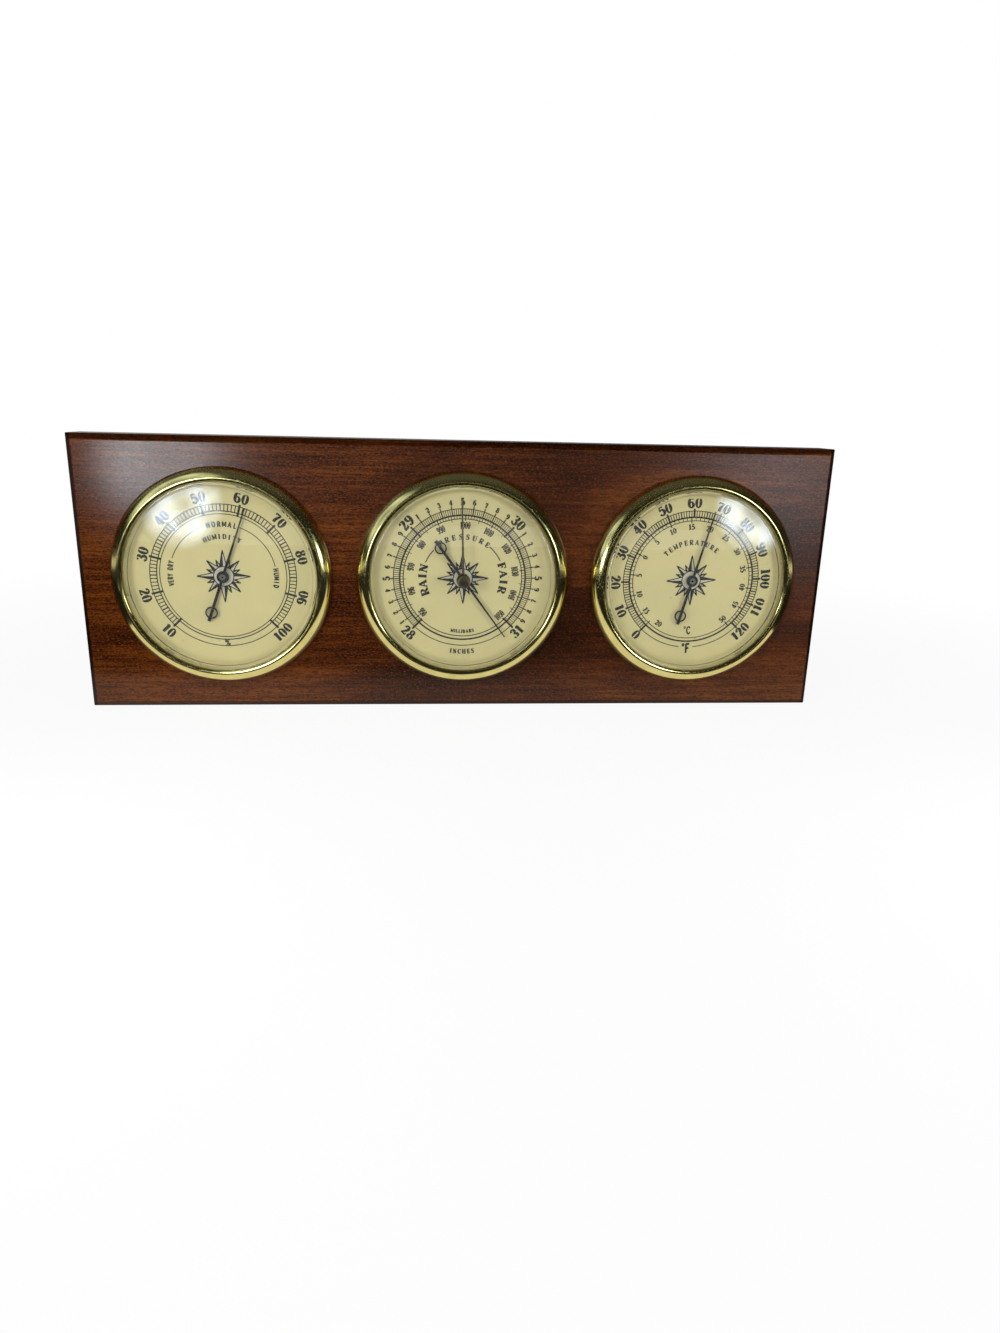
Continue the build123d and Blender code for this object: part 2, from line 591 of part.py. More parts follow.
def bracket_screw_places():
    """Places across the case of the two screws that hold the bracket's feet."""
    place = BRACKET_HALF_SPAN + PLATE + BRACKET_FOOT / 2
    return (-place, place)


def bracket():
    """Bent strap over the coil that carries the front bush."""
    reach = BRACKET_HALF_SPAN + PLATE + BRACKET_FOOT
    foot_top = FLOOR_FRONT + PLATE
    inside = FilletPolyline(
        (-reach, FLOOR_FRONT), (-BRACKET_HALF_SPAN, FLOOR_FRONT), (-BRACKET_HALF_SPAN, TOP_PLATE_BACK),
        (BRACKET_HALF_SPAN, TOP_PLATE_BACK), (BRACKET_HALF_SPAN, FLOOR_FRONT), (reach, FLOOR_FRONT),
        radius=(BRACKET_BEND + PLATE, BRACKET_BEND, BRACKET_BEND, BRACKET_BEND + PLATE))
    profile = make_face(inside.offset_2d(PLATE, side=Side.LEFT).edges())
    strap = extrude(Plane.XZ * profile, amount=BRACKET_WIDTH / 2, both=True)
    strap -= disc(BUSH_RADIUS + SEAT_CLEARANCE, TOP_PLATE_BACK, TOP_PLATE_FRONT)
    for x in bracket_screw_places():
        strap -= disc(SCREW_RADIUS + SEAT_CLEARANCE, FLOOR_FRONT, foot_top, x)
    return strap


def bracket_screws():
    """The two screws through the bracket's feet."""
    head_back = FLOOR_FRONT + PLATE
    return Compound([machine_screw(head_back, PLATE + SCREW_BITE, x) for x in bracket_screw_places()])


def machine_screw(head_back, length, x=0.0, y=0.0):
    """Pan-head screw driven towards the back from the level under its head."""
    head = disc(SCREW_HEAD_RADIUS, head_back, head_back + SCREW_HEAD_HEIGHT, x, y)
    return head + disc(SCREW_RADIUS, head_back - length, head_back, x, y)


def bush(seat_back, seat_front, flange_back, flange_front):
    """Flanged bearing bush bored for the arbor."""
    body = disc(BUSH_RADIUS, seat_back, seat_front) + disc(BUSH_FLANGE_RADIUS, flange_back, flange_front)
    low = min(seat_back, flange_back)
    high = max(seat_front, flange_front)
    return body - disc(SHAFT_RADIUS + RUNNING_CLEARANCE, low, high)


def coil_bushes():
    """Front bush in the bracket and rear bush in the case floor, flanges facing each other."""
    front = bush(TOP_PLATE_BACK, TOP_PLATE_FRONT, TOP_PLATE_BACK - BUSH_FLANGE, TOP_PLATE_BACK)
    rear = bush(FLOOR_FRONT - PLATE, FLOOR_FRONT, FLOOR_FRONT, FLOOR_FRONT + BUSH_FLANGE)
    return Compound([front, rear])


# Aneroid movement


def base_screw_places():
    """Places of the three screws that hold the base plate on the case's bosses."""
    return [polar(BASE_RADIUS - BASE_SCREW_INSET, angle) for angle in BASE_SCREW_ANGLES]


def pillar_places():
    """Places of the three pillars between the plates."""
    return [polar(BASE_RADIUS - inset, angle) for inset, angle in zip(PILLAR_INSETS, PILLAR_ANGLES)]


def barometer_case():
    """Case of the barometer: bosses for the base plate and a hole to reach the adjusting screw."""
    case = case_cup()
    for x, y in base_screw_places():
        case += disc(BOSS_RADIUS, FLOOR_FRONT, BASE_BACK, x, y)
        case -= disc(SCREW_RADIUS + SEAT_CLEARANCE, BASE_BACK - SCREW_BITE - SEAT_CLEARANCE, BASE_BACK, x, y)
    return case - disc(ADJUSTER_HEAD_RADIUS + ADJUSTER_ACCESS, FLOOR_BACK, FLOOR_FRONT, 0, CAPSULE_Y)


def base_plate():
    """Round base plate of the movement, drilled for shafts, pillars and screws."""
    plate = disc(BASE_RADIUS, BASE_BACK, BASE_FRONT)
    running = SHAFT_RADIUS + RUNNING_CLEARANCE
    holes = [(0, 0, running), (SECTOR_X, SECTOR_Y, running)]
    holes += [(0, CAPSULE_Y, ADJUSTER_RADIUS + RUNNING_CLEARANCE)]
    holes += [(x, y, SCREW_RADIUS + SEAT_CLEARANCE) for x, y in [*base_screw_places(), *pillar_places()]]
    for x, y, radius in holes:
        plate -= disc(radius, BASE_BACK, BASE_FRONT, x, y)
    return plate


def base_screws():
    """Screws of the base plate."""
    return Compound([machine_screw(BASE_FRONT, PLATE + SCREW_BITE, x, y) for x, y in base_screw_places()])


def pillars():
    """Pillars between the two plates, each with a tenon in the base plate and a tapped front end."""
    pillar = disc(PILLAR_RADIUS, BASE_FRONT, TOP_PLATE_BACK) + disc(SCREW_RADIUS, BASE_BACK, BASE_FRONT)
    tapped_end = TOP_PLATE_BACK - SCREW_BITE - SEAT_CLEARANCE
    pillar -= disc(SCREW_RADIUS + SEAT_CLEARANCE, tapped_end, TOP_PLATE_BACK)
    return Compound([Pos(x, y, 0) * pillar for x, y in pillar_places()])


def top_plate():
    """Front plate of the movement: a rounded outline round the pillars and the two shafts."""
    places = [*pillar_places(), (SECTOR_X, SECTOR_Y), (0, 0)]
    corners = [Pos(x, y) * Circle(TOP_PLATE_MARGIN) for x, y in places]
    plate = sheet(make_hull(ShapeList(corners).edges()), TOP_PLATE_BACK, TOP_PLATE_FRONT)
    for x, y in pillar_places():
        plate -= disc(SCREW_RADIUS + SEAT_CLEARANCE, TOP_PLATE_BACK, TOP_PLATE_FRONT, x, y)
    for x, y in places[-2:]:
        plate -= disc(SHAFT_RADIUS + RUNNING_CLEARANCE, TOP_PLATE_BACK, TOP_PLATE_FRONT, x, y)
    return plate


def top_plate_screws():
    """Screws of the front plate, into the pillars."""
    return Compound([machine_screw(TOP_PLATE_FRONT, PLATE + SCREW_BITE, x, y) for x, y in pillar_places()])


def capsule():
    """Evacuated capsule of two corrugated diaphragms crimped at the rim, with its stud."""
    middle = (BASE_FRONT + CAPSULE_TOP) / 2
    fold = (CAPSULE_RADIUS - CAPSULE_RIM - CAPSULE_STUD_RADIUS) / (2 * CAPSULE_FOLDS)
    radii = [CAPSULE_RADIUS - CAPSULE_RIM - fold * step for step in range(2 * CAPSULE_FOLDS)]
    drops = [CAPSULE_FOLD_DEPTH * (step % 2) for step in range(2 * CAPSULE_FOLDS)]
    front = [(radius, CAPSULE_TOP - drop) for radius, drop in zip(radii, drops)]
    back = [(radius, BASE_FRONT + drop) for radius, drop in zip(radii, drops)]
    rim = [(radii[0], middle - CAPSULE_CRIMP / 2), (CAPSULE_RADIUS, middle - CAPSULE_CRIMP / 2),
           (CAPSULE_RADIUS, middle + CAPSULE_CRIMP / 2), (radii[0], middle + CAPSULE_CRIMP / 2)]
    body = turned((0, BASE_FRONT), *back[::-1], *rim, *front, (0, CAPSULE_TOP))
    stud = disc(CAPSULE_STUD_RADIUS, CAPSULE_TOP - CAPSULE_FOLD_DEPTH, CAPSULE_TOP + CAPSULE_STUD)
    return Pos(0, CAPSULE_Y, 0) * (body + stud)


def adjusting_screw():
    """Slotted screw behind the capsule, reached through the case floor."""
    head = disc(ADJUSTER_HEAD_RADIUS, BASE_BACK - ADJUSTER_HEAD, BASE_BACK - RUNNING_CLEARANCE)
    screw = head + disc(ADJUSTER_RADIUS, BASE_BACK - RUNNING_CLEARANCE, BASE_FRONT - RUNNING_CLEARANCE)
    slot = Pos(0, 0, BASE_BACK - ADJUSTER_HEAD) * Box(2 * ADJUSTER_HEAD_RADIUS, ADJUSTER_SLOT, ADJUSTER_HEAD)
    return Pos(0, CAPSULE_Y, 0) * (screw - slot)


def tooth(pitch_radius, thickness):
    """One gear tooth pointing right: straight flanks to the pitch line and a tapered tip."""
    root = pitch_radius - TOOTH_DEDENDUM - TOOTH_ADDENDUM / 2
    tip = pitch_radius + TOOTH_ADDENDUM
    half = thickness / 2
    return make_face(Polyline(
        (root, -half), (pitch_radius, -half), (tip, -TOOTH_TIP / 2), (tip, TOOTH_TIP / 2),
        (pitch_radius, half), (root, half), close=True))


def pinion():
    """Pinion on the barometer's arbor, in mesh with the sector."""
    step = 360 / PINION_TEETH
    towards_sector = degrees(atan2(SECTOR_Y, SECTOR_X))
    outline = Circle(PINION_PITCH_RADIUS - TOOTH_DEDENDUM)
    leaf = tooth(PINION_PITCH_RADIUS, PINION_TOOTH)
    for index in range(PINION_TEETH):
        outline += Rot(0, 0, towards_sector + step * (index + 0.5)) * leaf
    outline -= Circle(SHAFT_RADIUS + SEAT_CLEARANCE)
    blank = sheet(outline, SECTOR_BACK - PINION_OVERHANG, SECTOR_FRONT + PINION_OVERHANG)
    return clockwise(BAROMETER_ANGLE, blank)


def wedge(inner_radius, outer_radius, half_angle):
    """Ring segment about the right-hand direction."""
    inner = CenterArc((0, 0), inner_radius, -half_angle, 2 * half_angle)
    outer = CenterArc((0, 0), outer_radius, -half_angle, 2 * half_angle)
    return make_face([inner, outer, Line(inner @ 0, outer @ 0), Line(inner @ 1, outer @ 1)])


def sector():
    """Toothed sector with an open web and the pin that the rocker pushes."""
    step = 360 / SECTOR_TEETH
    root_radius = SECTOR_PITCH_RADIUS - TOOTH_DEDENDUM
    half_angle = SECTOR_CUT_TEETH * step / 2
    rim_inner = root_radius - SECTOR_RIM
    window_angle = half_angle - degrees(SECTOR_SPOKE / rim_inner)
    outline = wedge(SECTOR_HUB_RADIUS / 2, root_radius, half_angle) + Circle(SECTOR_HUB_RADIUS)
    outline -= wedge((SECTOR_HUB_RADIUS + rim_inner) / 2, rim_inner, window_angle)
    cog = tooth(SECTOR_PITCH_RADIUS, SECTOR_TOOTH)
    for index in range(SECTOR_CUT_TEETH):
        outline += Rot(0, 0, step * (index - (SECTOR_CUT_TEETH - 1) / 2)) * cog
    towards_arbor = degrees(atan2(-SECTOR_Y, -SECTOR_X))
    plate = sheet(Rot(0, 0, towards_arbor) * outline, SECTOR_BACK, SECTOR_FRONT)
    plate += disc(PIN_RADIUS, SECTOR_BACK - PIN_LENGTH, SECTOR_BACK, 0, PIN_DISTANCE)
    plate -= disc(SHAFT_RADIUS + SEAT_CLEARANCE, SECTOR_BACK, SECTOR_FRONT)
    return Pos(SECTOR_X, SECTOR_Y, 0) * Rot(0, 0, SECTOR_REST) * plate


def sector_shaft():
    """Shaft of the sector, running in both plates, with a collar under the sector."""
    shaft = disc(SHAFT_RADIUS, BASE_BACK, TOP_PLATE_FRONT)
    collar = disc(SECTOR_COLLAR_RADIUS, SECTOR_BACK - PIN_LENGTH, SECTOR_BACK)
    return Pos(SECTOR_X, SECTOR_Y, 0) * (shaft + collar)


def rocker():
    """Rocking shaft with a finger on the capsule's stud and an upright that pushes the sector's pin."""
    pin_y = SECTOR_Y + PIN_DISTANCE
    shaft_top = CAPSULE_Y + ROCKER_BAR
    shaft_end = pin_y - UPRIGHT_WIDTH / 2
    shaft_start = Plane((0, shaft_top, 0), z_dir=(0, -1, 0))
    shaft = extrude(shaft_start * Circle(ROCKER_RADIUS), amount=shaft_top - shaft_end)
    finger_reach = FINGER_LENGTH + 2 * CAPSULE_STUD_RADIUS
    finger = Pos(-finger_reach / 2, CAPSULE_Y, 0) * Box(finger_reach, 2 * ROCKER_BAR, ROCKER_BAR)
    upright_x = -PIN_RADIUS - PUSH_CLEARANCE - UPRIGHT_THICKNESS / 2
    upright_height = UPRIGHT_LENGTH + PIN_LENGTH / 4
    upright = Box(UPRIGHT_THICKNESS, UPRIGHT_WIDTH, upright_height)
    upright = Pos(upright_x, pin_y, upright_height / 2) * upright
    return Pos(SECTOR_X, 0, ROCKER_AXLE) * Rot(0, ROCKER_REST, 0) * (shaft + finger + upright)


def rocker_ear(y, foot_way):
    """Bearing ear for the rocking shaft on an angled foot."""
    rise = ROCKER_AXLE - BASE_FRONT
    face = Pos(0, rise / 2) * Rectangle(EAR_WIDTH, rise) + Pos(0, rise) * Circle(EAR_WIDTH / 2)
    face -= Pos(0, rise) * Circle(ROCKER_RADIUS + RUNNING_CLEARANCE)
    upright = Pos(0, PLATE / 2, 0) * extrude(Plane.XZ * face, amount=PLATE)
    foot = Pos(0, foot_way * EAR_FOOT / 2, PLATE / 2) * Box(EAR_WIDTH, EAR_FOOT, PLATE)
    return Pos(SECTOR_X, y, BASE_FRONT) * (upright + foot)


def rocker_ears():
    """The two ears of the rocking shaft, feet facing each other."""
    return Compound([rocker_ear(UPPER_EAR_Y, -1), rocker_ear(LOWER_EAR_Y, 1)])


def hairspring_level():
    """Level of the back edge of the hairspring."""
    return BASE_FRONT + HAIRSPRING_RISE


def barometer_arbor():
    """Arbor of the barometer's hand, with the hairspring's collet."""
    collet_radius = HAIRSPRING_START_RADIUS - HAIRSPRING_STRIP / 2 - SEAT_CLEARANCE
    collet = disc(collet_radius, hairspring_level(), hairspring_level() + HAIRSPRING_WIDTH)
    return disc(SHAFT_RADIUS, BASE_BACK, HUB_FRONT) + collet


def hairspring():
    """Flat hairspring that takes up the play of the gear train."""
    strip = spiral(HAIRSPRING_START_RADIUS, HAIRSPRING_PITCH, HAIRSPRING_HALF_TURNS, HAIRSPRING_STRIP)
    return Rot(0, 0, 180) * sheet(strip, hairspring_level(), hairspring_level() + HAIRSPRING_WIDTH)


def hairspring_stud():
    """Stud on the base plate that holds the hairspring's outer end."""
    end_radius = HAIRSPRING_START_RADIUS + HAIRSPRING_HALF_TURNS * HAIRSPRING_PITCH / 2 + HAIRSPRING_STRIP / 2
    return disc(HAIRSPRING_STUD_RADIUS, BASE_FRONT, hairspring_level() + HAIRSPRING_WIDTH,
                -end_radius - SEAT_CLEARANCE - HAIRSPRING_STUD_RADIUS)


# Assembly


def coil_gauge(angle, length):
    """Nodes of a gauge moved by a spiral coil."""
    return {
        "case": vented_case(),
        "bezel": bezel(),
        "crystal": crystal(),
        "dial": dial(),
        "bracket": bracket(),
        "bracket_screws": bracket_screws(),
        "bushes": coil_bushes(),
        "coil": coil(),
        "coil_post": coil_post(),
        "arbor": coil_arbor(),
        "hand": clockwise(angle, hand(length)),
        "hand_hub": hand_hub(),
        "hand_eyelet": hand_eyelet(),
    }


def aneroid_gauge():
    """Nodes of the barometer."""
    return {
        "case": barometer_case(),
        "bezel": bezel(),
        "crystal": drilled_crystal(),
        "dial": dial(),
        "base_plate": base_plate(),
        "base_screws": base_screws(),
        "pillars": pillars(),
        "top_plate": top_plate(),
        "top_plate_screws": top_plate_screws(),
        "capsule": capsule(),
        "adjusting_screw": adjusting_screw(),
        "rocker": rocker(),
        "rocker_ears": rocker_ears(),
        "sector": sector(),
        "sector_shaft": sector_shaft(),
        "pinion": pinion(),
        "arbor": barometer_arbor(),
        "hairspring": hairspring(),
        "hairspring_stud": hairspring_stud(),
        "hand": clockwise(BAROMETER_ANGLE, hand(BAROMETER_HAND_LENGTH)),
        "hand_hub": hand_hub(),
        "hand_eyelet": hand_eyelet(),
        "set_hand": clockwise(SET_HAND_ANGLE, set_hand()),
        "set_stem": set_stem(),
        "set_washer": set_washer(),
        "set_knob": set_knob(),
    }


def assembly():
    """Every node by name, in the board's frame."""
    gauges = {
        "hygrometer": coil_gauge(HYGROMETER_ANGLE, HYGROMETER_HAND_LENGTH),
        "barometer": aneroid_gauge(),
        "thermometer": coil_gauge(THERMOMETER_ANGLE, THERMOMETER_HAND_LENGTH),
    }
    nodes = {"board": board(), "hanger_screws": hanger_screws()}
    nodes["hanger_plates"] = Compound([frame * hanger_plate() for frame in hanger_frames()])
    for gauge, pieces in gauges.items():
        for piece, shape in pieces.items():
            nodes[f"{gauge}_{piece}"] = gauge_frame(gauge) * shape
    return nodes


os.makedirs("parts", exist_ok=True)
for node, shape in assembly().items():
    export_step(shape, f"parts/{node}.step")
print(f"board {BOARD_LENGTH:.2f} x {BOARD_THICKNESS:.2f} x {BOARD_HEIGHT:.2f} mm")
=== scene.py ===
"""Looks of a wooden weather station with three round gauges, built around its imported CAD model."""
import json
import math

import bmesh
import bpy
from bpy.props import FloatProperty, FloatVectorProperty, IntProperty, PointerProperty
from mathutils import Euler, Matrix, Vector


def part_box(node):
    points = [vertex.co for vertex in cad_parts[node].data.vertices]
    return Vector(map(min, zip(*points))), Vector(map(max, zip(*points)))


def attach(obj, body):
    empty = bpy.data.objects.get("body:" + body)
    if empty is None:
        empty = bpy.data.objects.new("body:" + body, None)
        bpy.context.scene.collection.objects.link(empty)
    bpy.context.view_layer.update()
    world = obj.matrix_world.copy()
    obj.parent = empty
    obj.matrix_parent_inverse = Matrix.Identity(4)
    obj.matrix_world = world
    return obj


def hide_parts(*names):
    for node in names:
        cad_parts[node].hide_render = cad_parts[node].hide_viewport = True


bl_info = {
    "name": "Weather station",
    "version": (1, 0, 0),
    "blender": (4, 5, 0),
    "location": "View3D > Sidebar > Weather station",
    "description": "Models a wooden weather station with hygrometer, barometer and thermometer",
    "category": "Add Mesh",
}

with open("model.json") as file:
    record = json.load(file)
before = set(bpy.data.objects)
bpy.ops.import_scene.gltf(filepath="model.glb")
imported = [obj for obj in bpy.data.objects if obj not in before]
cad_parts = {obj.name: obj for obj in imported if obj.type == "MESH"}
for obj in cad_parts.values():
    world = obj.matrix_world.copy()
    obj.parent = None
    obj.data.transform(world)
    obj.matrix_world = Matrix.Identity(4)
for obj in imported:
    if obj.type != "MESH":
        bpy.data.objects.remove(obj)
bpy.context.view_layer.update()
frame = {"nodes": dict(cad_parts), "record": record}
BOARD_LOW, BOARD_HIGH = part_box("board")
BOARD_MIDDLE = (BOARD_LOW + BOARD_HIGH) / 2
BOARD_SIZE = BOARD_HIGH - BOARD_LOW
SLOT_OF = {part["node"]: part["material_slot"] for part in frame["record"]["subparts"]}
GAUGES = ("hygrometer", "barometer", "thermometer")
MM = 0.001
TURN = 2 * math.pi
SPIN_STEPS = 192
SMOOTH_ANGLE = math.radians(32)
# Points of a shape that are closer than this are one point
MERGE = 1e-4
# Turn from a gauge's own frame, z to the viewer, to the frame of the whole object
UPRIGHT = Matrix.Rotation(math.pi / 2, 4, "X")


# Settings a user would change

def length(name, description, millimetres):
    """A length property, shown in scene units."""
    return FloatProperty(name=name, description=description, default=millimetres * MM, min=0.0,
                         subtype="DISTANCE", unit="LENGTH", precision=5)


def colour(name, description, red, green, blue):
    """A linear colour property."""
    return FloatVectorProperty(name=name, description=description, default=(red, green, blue), min=0.0,
                               max=1.0, size=3, subtype="COLOR")


class StationSizes(bpy.types.PropertyGroup):
    """Sizes of the pieces that are turned, printed or edged here."""
    board_bevel: length("Board bevel", "Width of the bevel round the board's front", 2.4)
    board_arris: length("Board arris", "Rounding left by sanding on the board's edges", 0.3)
    bezel_height: length("Bezel height", "Height of a bezel's crown over the board", 5.5)
    bezel_wall: length("Bezel wall", "Sheet thickness of a bezel", 0.8)
    crystal_height: length("Crystal height", "Height of a crystal's middle over the board", 6.9)
    crystal_dome: length("Crystal dome", "Radius of a crystal's domed face", 450.0)
    dial_depth: length("Dial depth", "How far a dial's face lies behind the board's front", 2.0)
    ink: length("Ink", "Thickness of the printed marks", 0.03)
    knob_teeth: IntProperty(name="Knob teeth", description="Number of ribs round the set knob", default=40,
                            min=6)


class StationColours(bpy.types.PropertyGroup):
    """Base colours of the finishes."""
    wood_light: colour("Wood, light", "Pale streaks of the board", 0.110, 0.029, 0.0030)
    wood_mid: colour("Wood, mid", "Main colour of the board", 0.045, 0.0088, 0.0010)
    wood_dark: colour("Wood, dark", "Dark streaks and pores of the board", 0.010, 0.0020, 0.0005)
    polished_brass: colour("Bezel brass", "Polished brass of the bezels", 0.74, 0.63, 0.23)
    dial_enamel: colour("Dial", "Cream paint of the dials", 0.53, 0.47, 0.225)
    ink: colour("Ink", "Print on the dials", 0.008, 0.009, 0.008)
    star_light: colour("Star, light", "Pale side of the compass rays", 0.46, 0.44, 0.33)
    black_enamel: colour("Hands", "Black paint of the hands", 0.0036, 0.0042, 0.0036)
    nickel: colour("Nickel", "Dull nickel of hubs and eyelets", 0.16, 0.17, 0.16)
    steel: colour("Steel", "Zinc plated steel", 0.50, 0.50, 0.50)
    plate_brass: colour("Plate brass", "Brushed brass of the movements", 0.62, 0.45, 0.17)
    knob_brass: colour("Knob brass", "Darkened brass of the set knob", 0.24, 0.20, 0.12)
    # Painted dark reflection: the set hand is brass, and this dark paint colour stands for the dark room that
    # it mirrors
    set_hand: colour("Set hand", "Dark lacquered brass of the set hand", 0.046, 0.034, 0.008)
    bimetal: colour("Bimetal", "Rolled strip of the thermometer's coil", 0.45, 0.33, 0.20)
    humidity_strip: colour("Humidity strip", "Rolled strip of the hygrometer's coil", 0.48, 0.36, 0.18)
    case_plastic: colour("Case plastic", "Moulded black plastic of the cases", 0.018, 0.018, 0.019)
    fibre: colour("Fibre", "Red fibre of the friction washer", 0.13, 0.025, 0.015)
    floor: colour("Floor", "Pale floor under the object", 0.86, 0.86, 0.85)


class StationStage(bpy.types.PropertyGroup):
    """Camera and light of the stage."""
    lens: FloatProperty(name="Lens", description="Focal length of the camera", default=23.638, unit="CAMERA")
    lamp_power: FloatProperty(name="Lamps", description="Power of each of the two near lamps", default=0.30,
                              unit="POWER")
    fill_power: FloatProperty(name="Fill", description="Power of the broad soft light", default=8.2,
                              unit="POWER")
    room_light: FloatProperty(name="Room", description="Strength of the even light of the room", default=0.25)
    lamp_glow: FloatProperty(name="Lamp faces", description="Brightness of the near lamps in reflections",
                             default=22.0)
    window_glow: FloatProperty(name="Window", description="Brightness of the window in reflections",
                               default=2.0)


def sizes():
    """Sizes that the user has set."""
    return bpy.context.scene.station_sizes


def colours():
    """Colours that the user has set."""
    return bpy.context.scene.station_colours


def gauge_place(gauge):
    """Matrix from a gauge's own frame, x right, y up and z to the viewer in millimetres, to the object's."""
    low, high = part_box(f"{gauge}_bezel")
    middle = Vector(((low.x + high.x) / 2, BOARD_LOW.y, (low.z + high.z) / 2))
    return Matrix.Translation(middle) @ UPRIGHT @ Matrix.Scale(MM, 4)


# Shader node helpers

def add(tree, kind, inputs=None, **settings):
    """Adds a node; each named input is set to a value, or linked where the value is a socket."""
    node = tree.nodes.new(kind)
    for key, value in settings.items():
        setattr(node, key, value)
    for key, value in (inputs or {}).items():
        if isinstance(value, bpy.types.NodeSocket):
            tree.links.new(value, node.inputs[key])
        else:
            node.inputs[key].default_value = value
    return node


def calc(tree, operation, first, second=0.0):
    """Output of a Math node."""
    return add(tree, "ShaderNodeMath", {0: first, 1: second}, operation=operation).outputs[0]


def remap(tree, value, low, high, to_low=0.0, to_high=1.0):
    """Output of a Map Range node."""
    inputs = {"Value": value, "From Min": low, "From Max": high, "To Min": to_low, "To Max": to_high}
    return add(tree, "ShaderNodeMapRange", inputs).outputs[0]


def mixed(tree, factor, first, second):
    """Colour output of a Mix node."""
    return add(tree, "ShaderNodeMix", {0: factor, 6: first, 7: second}, data_type="RGBA").outputs[2]


def stretched(tree, vector, scale, turn=(0.0, 0.0, 0.0), offset=(0.0, 0.0, 0.0)):
    """Coordinates scaled and turned by a Mapping node."""
    return add(tree, "ShaderNodeMapping", {"Vector": vector, "Location": offset, "Rotation": turn,
                                           "Scale": scale}).outputs[0]


def noise(tree, vector, scale=1.0, detail=3.0, roughness=0.55, distortion=0.0):
    """Value output of a Noise node."""
    inputs = {"Vector": vector, "Scale": scale, "Detail": detail, "Roughness": roughness,
              "Distortion": distortion}
    return add(tree, "ShaderNodeTexNoise", inputs).outputs[0]


def opaque(red, green, blue):
    """A colour as RGBA."""
    return (red, green, blue, 1.0)


def shade(base, factor):
    """A colour multiplied by a factor, as RGBA."""
    return opaque(*(min(1.0, channel * factor) for channel in base))


def node_group(name, inputs, outputs):
    """A new shader node group with its named sockets, its input node and its output node."""
    group = bpy.data.node_groups.new(name, "ShaderNodeTree")
    for socket, kind in inputs:
        group.interface.new_socket(name=socket, in_out="INPUT", socket_type=kind)
    for socket, kind in outputs:
        group.interface.new_socket(name=socket, in_out="OUTPUT", socket_type=kind)
    return group, group.nodes.new("NodeGroupInput"), group.nodes.new("NodeGroupOutput")


def scratch_group():
    """Fine scratches in two directions, as a mask."""
    name = "Fine scratches"
    if name in bpy.data.node_groups:
        return bpy.data.node_groups[name]
    group, inlet, outlet = node_group(
        name, [("Vector", "NodeSocketVector"), ("Scale", "NodeSocketFloat"), ("Amount", "NodeSocketFloat")],
        [("Mask", "NodeSocketFloat")])
    masks = []
    for turn, stretch in (((0.3, 0.7, 0.4), (1.0, 16.0, 16.0)), ((0.9, -0.5, 1.3), (14.0, 1.0, 14.0))):
        place = stretched(group, inlet.outputs["Vector"], stretch, turn)
        lines = noise(group, place, inlet.outputs["Scale"], 2.0)
        masks.append(remap(group, lines, 0.66, 0.74))
    both = calc(group, "MAXIMUM", masks[0], masks[1])
    group.links.new(calc(group, "MULTIPLY", both, inlet.outputs["Amount"]), outlet.inputs["Mask"])
    return group


def mottle_group():
    """Soft uneven cloudiness between two values."""
    name = "Soft mottle"
    if name in bpy.data.node_groups:
        return bpy.data.node_groups[name]
    group, inlet, outlet = node_group(
        name, [("Vector", "NodeSocketVector"), ("Scale", "NodeSocketFloat"), ("Low", "NodeSocketFloat"),
               ("High", "NodeSocketFloat")], [("Value", "NodeSocketFloat")])
    cloud = noise(group, inlet.outputs["Vector"], inlet.outputs["Scale"], 5.0, 0.6)
    value = remap(group, cloud, 0.3, 0.7, inlet.outputs["Low"], inlet.outputs["High"])
    group.links.new(value, outlet.inputs["Value"])
    return group


def placed_group(tree, group, inputs):
    """A group placed in a material, with its own values."""
    return add(tree, "ShaderNodeGroup", inputs, node_tree=group)


def scratches(tree, vector, scale, amount):
    """Mask output of the scratches group."""
    inputs = {"Vector": vector, "Scale": scale, "Amount": amount}
    return placed_group(tree, scratch_group(), inputs).outputs["Mask"]


def mottle(tree, vector, scale, low, high):
    """Value output of the mottle group."""
    inputs = {"Vector": vector, "Scale": scale, "Low": low, "High": high}
    return placed_group(tree, mottle_group(), inputs).outputs["Value"]


def new_material(name):
    """A material with its Principled shader, and its Object coordinates."""
    material = bpy.data.materials.new(name)
    material.use_nodes = True
    tree = material.node_tree
    tree.nodes.clear()
    shader = add(tree, "ShaderNodeBsdfPrincipled")
    add(tree, "ShaderNodeOutputMaterial", {"Surface": shader.outputs[0]})
    place = add(tree, "ShaderNodeTexCoord").outputs["Object"]
    return material, tree, shader, place


def feed(tree, shader, **sockets):
    """Sets or links inputs of the Principled shader by names with underscores for spaces."""
    for key, value in sockets.items():
        socket = shader.inputs[key.replace("_", " ")]
        if isinstance(value, bpy.types.NodeSocket):
            tree.links.new(value, socket)
        else:
            socket.default_value = value


def bumped(tree, height, strength, distance):
    """Normal output of a Bump node."""
    inputs = {"Height": height, "Strength": strength, "Distance": distance}
    return add(tree, "ShaderNodeBump", inputs).outputs[0]


# Finishes

# Noise layers of the wood: stretch along and across the grain, offset, detail, roughness and distortion
GRAIN = {
    "broad": ((8.0, 40.0, 24.0), (1.3, 0.0, 0.6), 3.0, 0.5, 0.6),
    "lines": ((26.0, 640.0, 640.0), (3.1, 0.0, 1.7), 4.0, 0.7, 0.3),
    "pores": ((330.0, 1700.0, 1700.0), (0.4, 5.0, 2.0), 2.0, 0.6, 0.0),
    "grit": ((900.0, 2300.0, 2300.0), (0.0, 0.0, 0.0), 2.0, 0.7, 0.0),
}
BROAD_SHARE, LINE_SHARE = 0.55, 0.45
DARK_STOP, MIDDLE_STOP, LIGHT_STOP = 0.40, 0.49, 0.60
